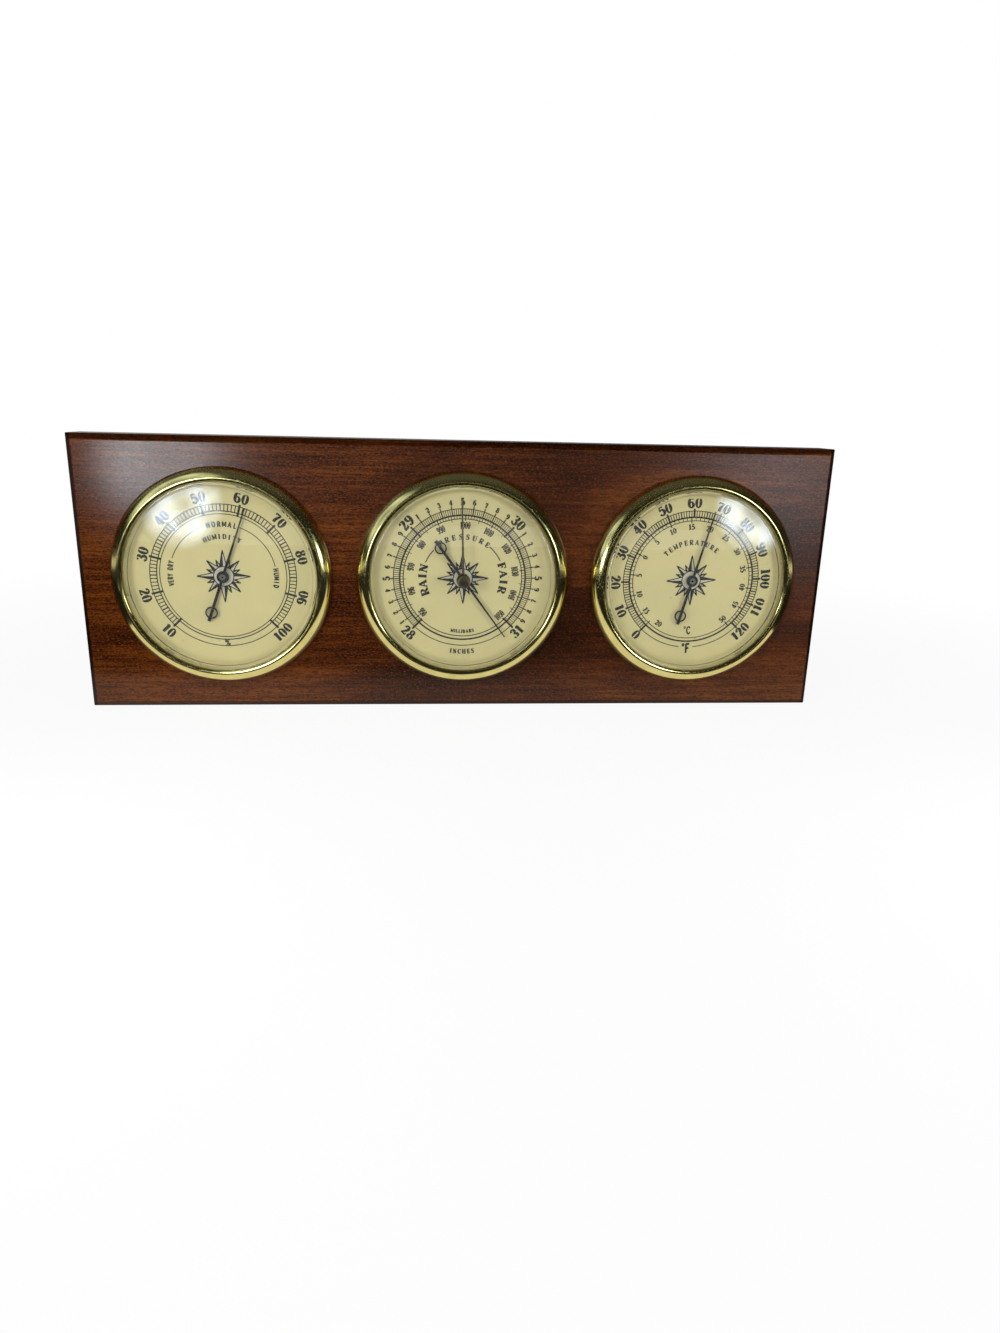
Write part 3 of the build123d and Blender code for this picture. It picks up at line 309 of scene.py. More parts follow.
# How far the figure is shifted low on the board, in its middle and at its ends
HEART_SHIFT, END_SHIFT = -0.075, 0.09
LEFT_ROUGHNESS, RIGHT_ROUGHNESS = 0.10, 0.34
VARNISH_TINT = (1.0, 0.88, 0.77, 1.0)


def grain_layers(tree, place):
    """Values of the wood's noise layers, from its broad figure to its fine grit."""
    layers = []
    for scale, offset, detail, roughness, distortion in GRAIN.values():
        stretch = stretched(tree, place, scale, offset=offset)
        layers.append(noise(tree, stretch, 1.0, detail, roughness, distortion))
    return layers


def wood_colour(tree, figure, pores, grit):
    """Colour of the grain: a ramp over its figure, then dark pores and light and dark flecks."""
    tones = colours()
    ramp = add(tree, "ShaderNodeValToRGB", {0: figure})
    stops = ramp.color_ramp.elements
    stops[0].position, stops[0].color = DARK_STOP, opaque(*tones.wood_dark)
    stops[1].position, stops[1].color = LIGHT_STOP, opaque(*tones.wood_light)
    stops.new(MIDDLE_STOP).color = opaque(*tones.wood_mid)
    flecked = ramp.outputs[0]
    for layer, start, full, amount, tone in (
            (pores, 0.50, 0.64, 0.75, shade(tones.wood_dark, 0.7)),
            (grit, 0.52, 0.70, 0.6, shade(tones.wood_light, 1.4)),
            (grit, 0.48, 0.32, 0.7, shade(tones.wood_dark, 0.8))):
        flecked = mixed(tree, remap(tree, layer, start, full, 0.0, amount), flecked, tone)
    return flecked


def bevel_mask(tree, across, upright):
    """Mask of the board's bevels, full at its ends and weaker along it."""
    bevel, long_share = sizes().board_bevel, 0.55
    masks = []
    for distance, half in ((across, BOARD_SIZE.x / 2), (upright, BOARD_SIZE.z / 2)):
        masks.append(remap(tree, distance, half - bevel * 1.05, half - bevel * 0.8))
    return calc(tree, "MAXIMUM", masks[0], calc(tree, "MULTIPLY", masks[1], long_share))


def wood_finish(sheen):
    """Varnished hardwood with its grain along the board, duller to the right, with painted shade darkening
    its bevels.
    """
    material, tree, shader, place = new_material("varnished_wood")
    broad, lines, pores, grit = grain_layers(tree, place)
    along, _, level = add(tree, "ShaderNodeSeparateXYZ", {0: place}).outputs
    half_length, half_height = BOARD_SIZE.x / 2, BOARD_SIZE.z / 2
    across = calc(tree, "ABSOLUTE", along)
    upright = calc(tree, "ABSOLUTE", calc(tree, "SUBTRACT", level, BOARD_LOW.z + half_height))
    figure = calc(tree, "ADD", calc(tree, "MULTIPLY", broad, BROAD_SHARE),
                  calc(tree, "MULTIPLY", lines, LINE_SHARE))
    heart = remap(tree, across, half_length * 0.25, half_length * 0.95, HEART_SHIFT, END_SHIFT)
    low = remap(tree, level, half_height * 0.25, half_height, 1.0, 0.0)
    figure = calc(tree, "ADD", figure, calc(tree, "MULTIPLY", heart, low))
    edge = bevel_mask(tree, across, upright)
    # Painted shade: the bevels are darkened nearly to black, as if they lay in shade
    painted_edge_shade = shade(colours().wood_dark, 0.25)
    edge_shaded = mixed(tree, calc(tree, "MULTIPLY", edge, 0.9), wood_colour(tree, figure, pores, grit), painted_edge_shade)
    rough = remap(tree, along, -half_length, half_length, LEFT_ROUGHNESS, RIGHT_ROUGHNESS)
    rough = calc(tree, "ADD", rough, calc(tree, "MULTIPLY", pores, 0.12))
    rough = calc(tree, "ADD", rough, calc(tree, "MULTIPLY", edge, 0.3))
    height = calc(tree, "ADD", lines, calc(tree, "MULTIPLY", pores, 0.8))
    feed(tree, shader, Base_Color=edge_shaded, Roughness=rough, Specular_IOR_Level=sheen,
         Specular_Tint=VARNISH_TINT, Normal=bumped(tree, height, 0.13, 0.00012))
    return material


# Size of the pits in the brass, and the heights between which they grow deeper
PIT_SCALE = 2300.0
PITS_START, PITS_FULL = 0.045, 0.095


def metal_finish(name, tone, rough, grain, wear, pits):
    """Metal with cloudy polish, fine scratches and, where asked, pitting towards the top of its piece."""
    material, tree, shader, place = new_material(name)
    cloud = mottle(tree, place, grain * 0.15, 0.0, 1.0)
    marks = scratches(tree, place, grain * 0.4, 1.0)
    base = mixed(tree, cloud, shade(tone, 0.86), shade(tone, 1.06))
    roughness = calc(tree, "ADD", mottle(tree, place, grain * 0.3, rough * 0.8, rough * 1.3),
                     calc(tree, "MULTIPLY", marks, wear))
    height = marks
    if pits:
        specks = remap(tree, noise(tree, place, PIT_SCALE, 3.0, 0.75), 0.48, 0.70)
        level = add(tree, "ShaderNodeSeparateXYZ", {0: place}).outputs["Z"]
        worn = calc(tree, "MULTIPLY", specks, remap(tree, level, PITS_START, PITS_FULL, 0.05, pits))
        base = mixed(tree, worn, base, shade(tone, 0.30))
        roughness = calc(tree, "ADD", roughness, calc(tree, "MULTIPLY", worn, 0.3))
        height = calc(tree, "SUBTRACT", calc(tree, "MULTIPLY", marks, 0.5), worn)
    feed(tree, shader, Base_Color=base, Roughness=roughness, Metallic=1.0,
         Normal=bumped(tree, height, 0.12, 0.00003))
    return material


FLECK_SCALE, GRIT_SCALE = 700.0, 5200.0


def paint_finish(name, tone, rough, scale, spread, fleck, gloss):
    """Paint, print or plastic with a little unevenness of colour and gloss."""
    material, tree, shader, place = new_material(name)
    cloud = mottle(tree, place, scale, 0.0, 1.0)
    base = mixed(tree, cloud, shade(tone, 1.0 - spread), shade(tone, 1.0 + spread))
    if fleck:
        dots = remap(tree, noise(tree, place, FLECK_SCALE, 1.0, 0.4), 0.765, 0.785, 0.0, fleck)
        base = mixed(tree, dots, base, shade(tone, 0.25))
    grit = noise(tree, place, GRIT_SCALE, 2.0)
    roughness = mottle(tree, place, scale * 1.7, rough * 0.85, rough * 1.15)
    feed(tree, shader, Base_Color=base, Roughness=roughness, Specular_IOR_Level=gloss,
         Normal=bumped(tree, grit, 0.06, 0.00002))
    return material


def dial_finish():
    """Cream paint with painted shade darkening it towards the dial's rim; the reach attribute grows from its
    floor to its rim.
    """
    cream = colours().dial_enamel
    material = paint_finish("dial_enamel", cream, *PAINTS["dial_enamel"])
    tree = material.node_tree
    shader = tree.nodes["Principled BSDF"]
    paint = shader.inputs["Base Color"].links[0].from_socket
    reach = add(tree, "ShaderNodeAttribute", attribute_name="reach").outputs["Fac"]
    # Painted shade: the dial's turned-up wall is darkened as if it lay in shade
    painted_rim_shade = remap(tree, reach, 0.0, 1.0, 0.0, 0.08)
    feed(tree, shader, Base_Color=mixed(tree, painted_rim_shade, paint, shade(cream, 0.55)))
    return material


ACRYLIC_IOR = 1.49
ACRYLIC_TINT = (0.985, 0.99, 0.975, 1.0)
SHADOW_TINT = (0.97, 0.975, 0.96, 1.0)


def crystal_finish():
    """Clear moulded acrylic with hairline scratches; lamps shine through it."""
    material, tree, shader, place = new_material("clear_crystal")
    marks = scratches(tree, place, 260.0, 0.10)
    feed(tree, shader, Base_Color=ACRYLIC_TINT, Roughness=marks, IOR=ACRYLIC_IOR, Transmission_Weight=1.0,
         Normal=bumped(tree, marks, 0.05, 0.00001))
    through = add(tree, "ShaderNodeBsdfTransparent", {"Color": SHADOW_TINT})
    path = add(tree, "ShaderNodeLightPath")
    choice = add(tree, "ShaderNodeMixShader", {0: path.outputs["Is Shadow Ray"], 1: shader.outputs[0],
                                               2: through.outputs[0]})
    tree.links.new(choice.outputs[0], tree.nodes["Material Output"].inputs["Surface"])
    return material


# Specular level of the board's faces and of its edges
WOODS = {"wood": 0.34, "wood_edge": 0.05}
# Roughness, grain of the polish, wear by scratches and depth of pitting
METALS = {
    "polished_brass": (0.13, 900.0, 0.10, 0.75),
    "nickel": (0.30, 1600.0, 0.12, 0.0),
    "steel": (0.34, 1200.0, 0.15, 0.0),
    "plate_brass": (0.32, 1000.0, 0.18, 0.0),
    "knob_brass": (0.42, 1500.0, 0.15, 0.0),
    "bimetal": (0.38, 1200.0, 0.12, 0.0),
    "humidity_strip": (0.46, 1200.0, 0.12, 0.0),
}
# Roughness, scale of the unevenness, its spread, share of dark flecks and specular level
PAINTS = {
    "dial_enamel": (0.50, 55.0, 0.05, 0.5, 0.4),
    "ink": (0.55, 900.0, 0.30, 0.0, 0.05),
    "star_light": (0.55, 1500.0, 0.18, 0.0, 0.2),
    "black_enamel": (0.45, 500.0, 0.20, 0.0, 0.06),
    "set_hand": (0.45, 500.0, 0.15, 0.0, 0.1),
    "case_plastic": (0.48, 350.0, 0.15, 0.0, 0.4),
    "fibre": (0.62, 900.0, 0.20, 0.0, 0.4),
}


def finish(name):
    """The material of a slot or printed colour, built on its first use."""
    known = bpy.data.materials.get("station_" + name)
    if known:
        return known
    if name in WOODS:
        material = wood_finish(WOODS[name])
    elif name == "crystal":
        material = crystal_finish()
    elif name == "dial_enamel":
        material = dial_finish()
    elif name in METALS:
        material = metal_finish(name, getattr(colours(), name), *METALS[name])
    elif name in PAINTS:
        material = paint_finish(name, getattr(colours(), name), *PAINTS[name])
    else:
        raise ValueError(f"no finish is made for {name}")
    material.name = "station_" + name
    return material


# Mesh helpers

def arc(middle_radius, middle_height, across, up, start, end, steps):
    """Points of an elliptic arc in a turned profile, from one angle to another in degrees."""
    points = []
    for step in range(steps + 1):
        angle = math.radians(start + (end - start) * step / steps)
        points.append((middle_radius + across * math.cos(angle), middle_height + up * math.sin(angle)))
    return points


def spun(profile, closed=True, steps=SPIN_STEPS):
    """A profile of (radius, height) points turned once round the gauge's axis."""
    shape = bmesh.new()
    rim = [shape.verts.new((radius, 0.0, height)) for radius, height in profile]
    edges = [shape.edges.new(pair) for pair in zip(rim, rim[1:])]
    if closed:
        edges.append(shape.edges.new((rim[-1], rim[0])))
    bmesh.ops.spin(shape, geom=rim + edges, cent=(0, 0, 0), axis=(0, 0, 1), angle=TURN, steps=steps,
                   use_merge=True)
    bmesh.ops.remove_doubles(shape, verts=shape.verts, dist=MERGE)
    bmesh.ops.recalc_face_normals(shape, faces=shape.faces)
    return shape


def raise_faces(shape, faces, height):
    """Extrudes faces upwards and gives the raised corners."""
    raised = bmesh.ops.extrude_face_region(shape, geom=faces)["geom"]
    tops = [item for item in raised if isinstance(item, bmesh.types.BMVert)]
    bmesh.ops.translate(shape, vec=(0.0, 0.0, height), verts=tops)
    return tops


def joined(shape, other):
    """Adds another bmesh to a shape and frees it."""
    carrier = bpy.data.meshes.new("carrier")
    other.to_mesh(carrier)
    other.free()
    shape.from_mesh(carrier)
    bpy.data.meshes.remove(carrier)


def evaluated_mesh(thing):
    """A new mesh of an object with its modifiers or its bevel applied."""
    bpy.context.view_layer.update()
    return bpy.data.meshes.new_from_object(thing.evaluated_get(bpy.context.evaluated_depsgraph_get()))


def cut(shape, cutter):
    """The shape with the cutter taken out of it."""
    things = []
    for source in (shape, cutter):
        mesh = bpy.data.meshes.new("boolean")
        source.to_mesh(mesh)
        source.free()
        thing = bpy.data.objects.new("boolean", mesh)
        bpy.context.scene.collection.objects.link(thing)
        things.append(thing)
    modifier = things[0].modifiers.new("Cut", "BOOLEAN")
    modifier.operation = "DIFFERENCE"
    modifier.solver = "EXACT"
    modifier.object = things[1]
    result = evaluated_mesh(things[0])
    made = bmesh.new()
    made.from_mesh(result)
    bpy.data.meshes.remove(result)
    for thing in things:
        mesh = thing.data
        bpy.data.objects.remove(thing)
        bpy.data.meshes.remove(mesh)
    return made


def piece(shape, name, place, finishes, body, nodes=(), smooth=True):
    """Makes a bmesh a finished piece on its body, with the given finishes, and hides the CAD nodes it stands
    for.
    """
    shape.transform(place)
    mesh = bpy.data.meshes.new(name)
    shape.to_mesh(mesh)
    shape.free()
    for finish_name in finishes:
        mesh.materials.append(finish(finish_name))
    if smooth:
        mesh.shade_smooth()
        mesh.set_sharp_from_angle(angle=SMOOTH_ANGLE)
    else:
        mesh.shade_flat()
    thing = bpy.data.objects.new(name, mesh)
    bpy.context.scene.collection.objects.link(thing)
    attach(thing, body)
    if nodes:
        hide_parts(*nodes)
    return thing


# Lettering: strokes of (x, y, half width) on a letter one unit high

HEAVY = 0.10
LIGHT = 0.045
MEAN = 0.07


def line(*points):
    """A straight stroke."""
    return ("line", points)


def bend(*points):
    """A curved stroke."""
    return ("bend", points)


def ring(*points):
    """A closed curved stroke."""
    return ("ring", points)


def stem(x, low=0.03, high=0.97, half=HEAVY):
    """An upright stroke."""
    return line((x, low, half), (x, high, half))


def slab(start, end, y, half=LIGHT):
    """A level stroke."""
    return line((start, y, half), (end, y, half))


def post(x):
    """An upright stroke of a plain letter."""
    return stem(x, half=MEAN)


def tick_down(x):
    """A serif that hangs from a letter's top."""
    return stem(x, 0.70, 0.98, LIGHT)


def tick_up(x):
    """A serif that stands on a letter's foot."""
    return stem(x, 0.02, 0.30, LIGHT)


def plain(stroke, *points):
    """A stroke of a plain letter, of even width."""
    return stroke(*((x, y, MEAN) for x, y in points))


TOP = 0.955
FOOT = 0.045
SIX_WIDTH = 0.66
SIX = [
    bend((0.47, 0.80, HEAVY), (0.46, 0.88, 0.06), (0.36, TOP, LIGHT), (0.20, 0.84, 0.08),
         (0.125, 0.55, HEAVY), (0.15, 0.22, 0.09), (0.33, FOOT, LIGHT), (0.50, 0.17, 0.085),
         (0.53, 0.30, HEAVY), (0.47, 0.48, 0.07), (0.34, 0.57, LIGHT), (0.20, 0.48, LIGHT),
         (0.16, 0.36, LIGHT)),
]
BOWL = bend((0.18, TOP, LIGHT), (0.42, TOP, LIGHT), (0.56, 0.85, 0.08), (0.58, 0.72, HEAVY),
            (0.56, 0.60, 0.08), (0.42, 0.49, LIGHT), (0.18, 0.49, LIGHT))
SIDE_BOWL = [stem(0.18), slab(0.03, 0.30, TOP), slab(0.03, 0.34, FOOT), BOWL]
# Width and strokes of each letter; small keys are plain letters, and a star is the degree sign
GLYPHS = {
    "0": (0.66, [ring((0.13, 0.5, HEAVY), (0.19, 0.84, 0.065), (0.33, TOP, LIGHT), (0.47, 0.84, 0.065),
                      (0.53, 0.5, HEAVY), (0.47, 0.16, 0.065), (0.33, FOOT, LIGHT), (0.19, 0.16, 0.065))]),
    "1": (0.52, [stem(0.28), slab(0.06, 0.50, FOOT), line((0.28, 0.94, 0.055), (0.06, 0.82, 0.045))]),
    "2": (0.62, [bend((0.13, 0.70, 0.095), (0.13, 0.82, 0.07), (0.28, TOP, LIGHT), (0.45, 0.85, 0.085),
                      (0.47, 0.70, HEAVY), (0.36, 0.46, 0.08), (0.10, 0.11, 0.05)),
                 line((0.07, 0.085, 0.08), (0.52, 0.085, 0.08)), tick_up(0.55)]),
    "3": (0.62, [bend((0.13, 0.75, 0.09), (0.15, 0.87, 0.06), (0.29, TOP, LIGHT), (0.45, 0.85, 0.08),
                      (0.46, 0.71, 0.095), (0.38, 0.57, 0.06), (0.23, 0.53, LIGHT)),
                 bend((0.23, 0.53, LIGHT), (0.42, 0.46, 0.07), (0.51, 0.28, HEAVY), (0.45, 0.11, 0.08),
                      (0.28, FOOT, LIGHT), (0.13, 0.13, 0.06), (0.12, 0.25, 0.09))]),
    "4": (0.66, [line((0.40, 0.98, LIGHT), (0.06, 0.27, LIGHT)), slab(0.05, 0.62, 0.27, 0.05), stem(0.43),
                 slab(0.26, 0.60, FOOT)]),
    "5": (0.62, [line((0.12, 0.90, 0.08), (0.50, 0.90, 0.08)), line((0.14, 0.94, LIGHT), (0.12, 0.48, LIGHT)),
                 bend((0.12, 0.48, LIGHT), (0.28, 0.60, 0.05), (0.46, 0.50, 0.085), (0.52, 0.32, HEAVY),
                      (0.45, 0.12, 0.08), (0.28, FOOT, LIGHT), (0.13, 0.12, 0.06), (0.12, 0.22, 0.09))]),
    "6": (SIX_WIDTH, SIX),
    "7": (0.60, [line((0.07, 0.90, 0.08), (0.54, 0.90, 0.08)), tick_down(0.07), bend(
        (0.53, 0.88, 0.06), (0.38, 0.55, 0.08), (0.29, 0.25, HEAVY), (0.28, 0.03, HEAVY))]),
    "8": (0.64, [ring((0.16, 0.75, 0.08), (0.32, TOP, LIGHT), (0.48, 0.75, 0.08), (0.32, 0.54, LIGHT)),
                 ring((0.12, 0.28, HEAVY), (0.32, 0.525, LIGHT), (0.52, 0.28, HEAVY), (0.32, FOOT, LIGHT))]),
    "A": (0.82, [line((0.13, 0.03, LIGHT), (0.40, 0.97, LIGHT)),
                 line((0.40, 0.97, 0.08), (0.66, 0.03, HEAVY)),
                 slab(0.22, 0.56, 0.33), slab(0.01, 0.26, FOOT), slab(0.50, 0.82, FOOT)]),
    "B": (0.68, [stem(0.18), slab(0.03, 0.30, TOP), slab(0.03, 0.30, FOOT),
                 bend((0.18, TOP, LIGHT), (0.40, TOP, LIGHT), (0.53, 0.75, 0.09), (0.40, 0.53, LIGHT),
                      (0.18, 0.53, LIGHT)),
                 bend((0.18, 0.515, LIGHT), (0.43, 0.515, LIGHT), (0.58, 0.29, HEAVY), (0.43, FOOT, LIGHT),
                      (0.18, FOOT, LIGHT))]),
    "C": (0.70, [bend((0.62, 0.72, LIGHT), (0.52, 0.91, LIGHT), (0.36, TOP, LIGHT), (0.17, 0.78, 0.085),
                      (0.12, 0.5, HEAVY), (0.17, 0.22, 0.085), (0.36, FOOT, LIGHT), (0.53, 0.10, LIGHT),
                      (0.63, 0.28, LIGHT)), tick_down(0.62)]),
    "D": (0.74, [stem(0.18), slab(0.03, 0.30, TOP), slab(0.03, 0.30, FOOT),
                 bend((0.18, TOP, LIGHT), (0.40, TOP, LIGHT), (0.58, 0.80, 0.08), (0.63, 0.5, HEAVY),
                      (0.58, 0.20, 0.08), (0.40, FOOT, LIGHT), (0.18, FOOT, LIGHT))]),
    "E": (0.66, [stem(0.18), slab(0.03, 0.58, TOP), slab(0.18, 0.45, 0.50), slab(0.03, 0.60, FOOT),
                 tick_down(0.57), tick_up(0.59), line((0.45, 0.37, LIGHT), (0.45, 0.63, LIGHT))]),
    "F": (0.64, [stem(0.18), slab(0.03, 0.57, TOP), slab(0.18, 0.44, 0.50), slab(0.03, 0.34, FOOT),
                 tick_down(0.56), line((0.44, 0.37, LIGHT), (0.44, 0.63, LIGHT))]),
    "H": (0.82, [stem(0.18), stem(0.64), slab(0.18, 0.64, 0.50)]
          + [slab(x, x + 0.30, y) for x in (0.03, 0.49) for y in (FOOT, TOP)]),
    "I": (0.38, [stem(0.19), slab(0.03, 0.35, FOOT), slab(0.03, 0.35, TOP)]),
    "L": (0.64, [stem(0.18), slab(0.03, 0.34, TOP), slab(0.03, 0.58, FOOT), tick_up(0.58)]),
    "M": (0.94, [stem(0.14, half=LIGHT), stem(0.77), line((0.14, 0.96, 0.07), (0.44, 0.10, HEAVY)),
                 line((0.44, 0.10, LIGHT), (0.76, 0.96, LIGHT)), slab(0.01, 0.28, FOOT),
                 slab(0.62, 0.92, FOOT), slab(0.01, 0.16, TOP), slab(0.76, 0.92, TOP)]),
    "N": (0.80, [stem(0.14, half=LIGHT), stem(0.64, half=LIGHT),
                 line((0.14, 0.96, HEAVY), (0.64, 0.05, HEAVY)), slab(0.01, 0.28, FOOT),
                 slab(0.01, 0.16, TOP), slab(0.50, 0.78, TOP)]),
    "P": (0.68, SIDE_BOWL),
    "R": (0.76, SIDE_BOWL + [line((0.38, 0.48, 0.08), (0.60, 0.06, HEAVY)), slab(0.50, 0.76, FOOT)]),
    "S": (0.62, [bend((0.52, 0.74, LIGHT), (0.44, 0.91, LIGHT), (0.29, TOP, LIGHT), (0.13, 0.80, 0.08),
                      (0.19, 0.62, 0.09), (0.40, 0.45, HEAVY), (0.50, 0.25, 0.09), (0.38, 0.07, 0.05),
                      (0.25, FOOT, LIGHT), (0.14, 0.11, LIGHT), (0.08, 0.28, LIGHT)),
                 tick_down(0.52), tick_up(0.08)]),
    "T": (0.68, [stem(0.34), slab(0.04, 0.64, TOP), tick_down(0.05), tick_down(0.63),
                 slab(0.18, 0.50, FOOT)]),
    "U": (0.78, [bend((0.17, 0.97, HEAVY), (0.17, 0.35, HEAVY), (0.23, 0.12, 0.08), (0.39, FOOT, LIGHT),
                      (0.55, 0.12, LIGHT), (0.61, 0.35, LIGHT), (0.61, 0.97, LIGHT)),
                 slab(0.02, 0.32, TOP), slab(0.48, 0.76, TOP)]),
    "Y": (0.76, [line((0.12, 0.96, HEAVY), (0.37, 0.44, HEAVY)),
                 line((0.64, 0.96, LIGHT), (0.37, 0.44, LIGHT)), stem(0.37, high=0.46),
                 slab(0.01, 0.28, TOP), slab(0.51, 0.76, TOP), slab(0.22, 0.52, FOOT)]),
    "a": (0.62, [plain(line, (0.06, 0.03), (0.31, 0.95)), plain(line, (0.31, 0.95), (0.56, 0.03)),
                 slab(0.16, 0.46, 0.33, MEAN)]),
    "c": (0.62, [plain(bend, (0.54, 0.75), (0.44, 0.90), (0.31, 0.93), (0.15, 0.75), (0.11, 0.5),
                       (0.15, 0.25), (0.31, 0.07), (0.45, 0.10), (0.54, 0.25))]),
    "d": (0.62, [post(0.12), plain(bend, (0.12, 0.93), (0.36, 0.88), (0.50, 0.50), (0.36, 0.12),
                                   (0.12, 0.07))]),
    "e": (0.54, [post(0.12)] + [slab(0.12, 0.48, y, MEAN) for y in (0.07, 0.50, 0.93)]),
    "f": (0.52, [post(0.12), slab(0.08, 0.48, 0.93, MEAN), slab(0.10, 0.40, 0.52, MEAN)]),
    "h": (0.64, [post(0.12), post(0.52), slab(0.12, 0.52, 0.50, MEAN)]),
    "i": (0.26, [post(0.13)]),
    "l": (0.50, [post(0.12), slab(0.12, 0.46, 0.07, MEAN)]),
    "m": (0.78, [post(0.12), post(0.66), plain(line, (0.12, 0.95), (0.39, 0.20)),
                 plain(line, (0.39, 0.20), (0.66, 0.95))]),
    "n": (0.64, [post(0.12), post(0.52), plain(line, (0.12, 0.95), (0.52, 0.05))]),
    "o": (0.68, [plain(ring, (0.12, 0.50), (0.34, 0.93), (0.56, 0.50), (0.34, 0.07))]),
    "r": (0.58, [post(0.12), plain(bend, (0.12, 0.93), (0.36, 0.90), (0.46, 0.72), (0.36, 0.54),
                                   (0.12, 0.50)), plain(line, (0.30, 0.50), (0.50, 0.03))]),
    "u": (0.62, [plain(bend, (0.12, 0.97), (0.12, 0.32), (0.31, 0.07), (0.50, 0.32), (0.50, 0.97))]),
    "v": (0.60, [plain(line, (0.06, 0.97), (0.30, 0.05)), plain(line, (0.30, 0.05), (0.54, 0.97))]),
    "y": (0.60, [plain(line, (0.06, 0.97), (0.30, 0.48)), plain(line, (0.54, 0.97), (0.30, 0.48)),
                 stem(0.30, high=0.48, half=MEAN)]),
    "*": (0.34, [ring((0.06, 0.84, LIGHT), (0.16, 0.95, LIGHT), (0.26, 0.84, LIGHT), (0.16, 0.73, LIGHT))]),
    "%": (0.86, [ring((0.08, 0.76, MEAN), (0.21, 0.93, LIGHT), (0.34, 0.76, MEAN), (0.21, 0.58, LIGHT)),
                 ring((0.52, 0.24, MEAN), (0.65, 0.41, LIGHT), (0.78, 0.24, MEAN), (0.65, 0.07, LIGHT)),
                 line((0.66, 0.98, LIGHT), (0.20, 0.02, LIGHT))]),
}
GLYPHS["9"] = (SIX_WIDTH, [(kind, tuple((SIX_WIDTH - x, 1.0 - y, half) for x, y, half in points))
                           for kind, points in SIX])
letter_meshes = {}


def letter_mesh(letter, weight):
    """Flat mesh of one letter, one unit high and centred, from tubes along its strokes."""
    key = (letter, weight)
    if key in letter_meshes:
        return letter_meshes[key]
    width, strokes = GLYPHS[letter]
    path = bpy.data.curves.new("letter", "CURVE")
    path.dimensions = "3D"
    path.bevel_depth = 1.0
    path.bevel_resolution = 2
    path.use_fill_caps = True
    for kind, points in strokes:
        spline = path.splines.new("POLY" if kind == "line" else "BEZIER")
        spline.resolution_u = 3
        spline.use_cyclic_u = kind == "ring"
        knots = spline.points if kind == "line" else spline.bezier_points
        knots.add(len(points) - 1)
        for knot, (x, y, half) in zip(knots, points):
            knot.co = (x - width / 2, y - 0.5, 0.0, 1.0)[:len(knot.co)]
            knot.radius = half * weight
            if kind != "line":
                knot.handle_left_type = knot.handle_right_type = "AUTO"
    thing = bpy.data.objects.new("letter", path)
    bpy.context.scene.collection.objects.link(thing)
    mesh = evaluated_mesh(thing)
    bpy.data.objects.remove(thing)
    bpy.data.curves.remove(path)
    shape = bmesh.new()
    shape.from_mesh(mesh)
    bmesh.ops.remove_doubles(shape, verts=shape.verts, dist=MERGE)
    bmesh.ops.holes_fill(shape, edges=[edge for edge in shape.edges if edge.is_boundary])
    bmesh.ops.recalc_face_normals(shape, faces=shape.faces)
    shape.to_mesh(mesh)
    shape.free()
    letter_meshes[key] = mesh
    return mesh


def clockwise(angle):
    """Turn by an angle in degrees, clockwise as the viewer sees the dial."""
    return Matrix.Rotation(-math.radians(angle), 4, "Z")


def print_letter(shape, letter, radius, angle, height, condense, weight, inward):
    """One letter on a dial, its top outwards or, turned over, inwards."""
    mesh = letter_mesh(letter, weight).copy()
    flat = sizes().ink / MM / HEAVY
    place = clockwise(angle) @ Matrix.Translation((0.0, radius, 0.0)) @ clockwise(180.0 if inward else 0.0)
    mesh.transform(place @ Matrix.Diagonal((height * condense, height, flat, 1.0)))
    shape.from_mesh(mesh)
    bpy.data.meshes.remove(mesh)


# Labels further round than this from the top stand with their tops inwards
TURN_OVER = 91.0


def print_label(shape, text, angle, radius, height, condense=1.0, weight=1.0, gap=0.06, inward=None):
    """A short label centred at an angle; below the middle of the dial its top is turned inwards."""
    turned = abs(angle) > TURN_OVER if inward is None else inward
    advances = [(GLYPHS[letter][0] + gap) * height * condense for letter in text]
    start = -sum(advances) / 2
    for letter, advance in zip(text, advances):
        shift = math.degrees((start + advance / 2) / radius)
        shifted = angle - shift if turned else angle + shift
        print_letter(shape, letter, radius, shifted, height, condense, weight, turned)
        start += advance


def print_word(shape, text, start, end, radius, height, condense=1.0, weight=1.0):
    """A word whose first and last letters are centred at two angles, tops outwards."""
    for index, letter in enumerate(text):
        angle = start + (end - start) * index / (len(text) - 1)
        print_letter(shape, letter, radius, angle, height, condense, weight, False)


def print_tick(shape, angle, inner, outer, width):
    """One radial mark."""
    ink = sizes().ink / MM
    place = clockwise(angle) @ Matrix.Translation((0.0, (inner + outer) / 2, ink / 2))
    bmesh.ops.create_cube(shape, size=1.0, matrix=place @ Matrix.Diagonal((width, outer - inner, ink, 1.0)))


def print_arc(shape, radius, width, start=None, end=None):
    """A printed circle, or an arc between two angles."""
    ink = sizes().ink / MM
    section = [(radius - width / 2, 0.0), (radius + width / 2, 0.0), (radius + width / 2, ink),
               (radius - width / 2, ink)]
    if start is None:
        joined(shape, spun(section))
        return
    swept = bmesh.new()
    corners = [swept.verts.new((0.0, distance, height)) for distance, height in section]
    face = swept.faces.new(corners)
    bmesh.ops.spin(swept, geom=[face, *face.edges, *corners], cent=(0, 0, 0), axis=(0, 0, 1),
                   angle=-math.radians(end - start), steps=max(3, int((end - start) / 3)))
    bmesh.ops.holes_fill(swept, edges=[edge for edge in swept.edges if edge.is_boundary])
    bmesh.ops.recalc_face_normals(swept, faces=swept.faces)
    swept.transform(clockwise(start))
    joined(shape, swept)


# Width of a ray's tip as a share of its root
RAY_TIP = 0.13


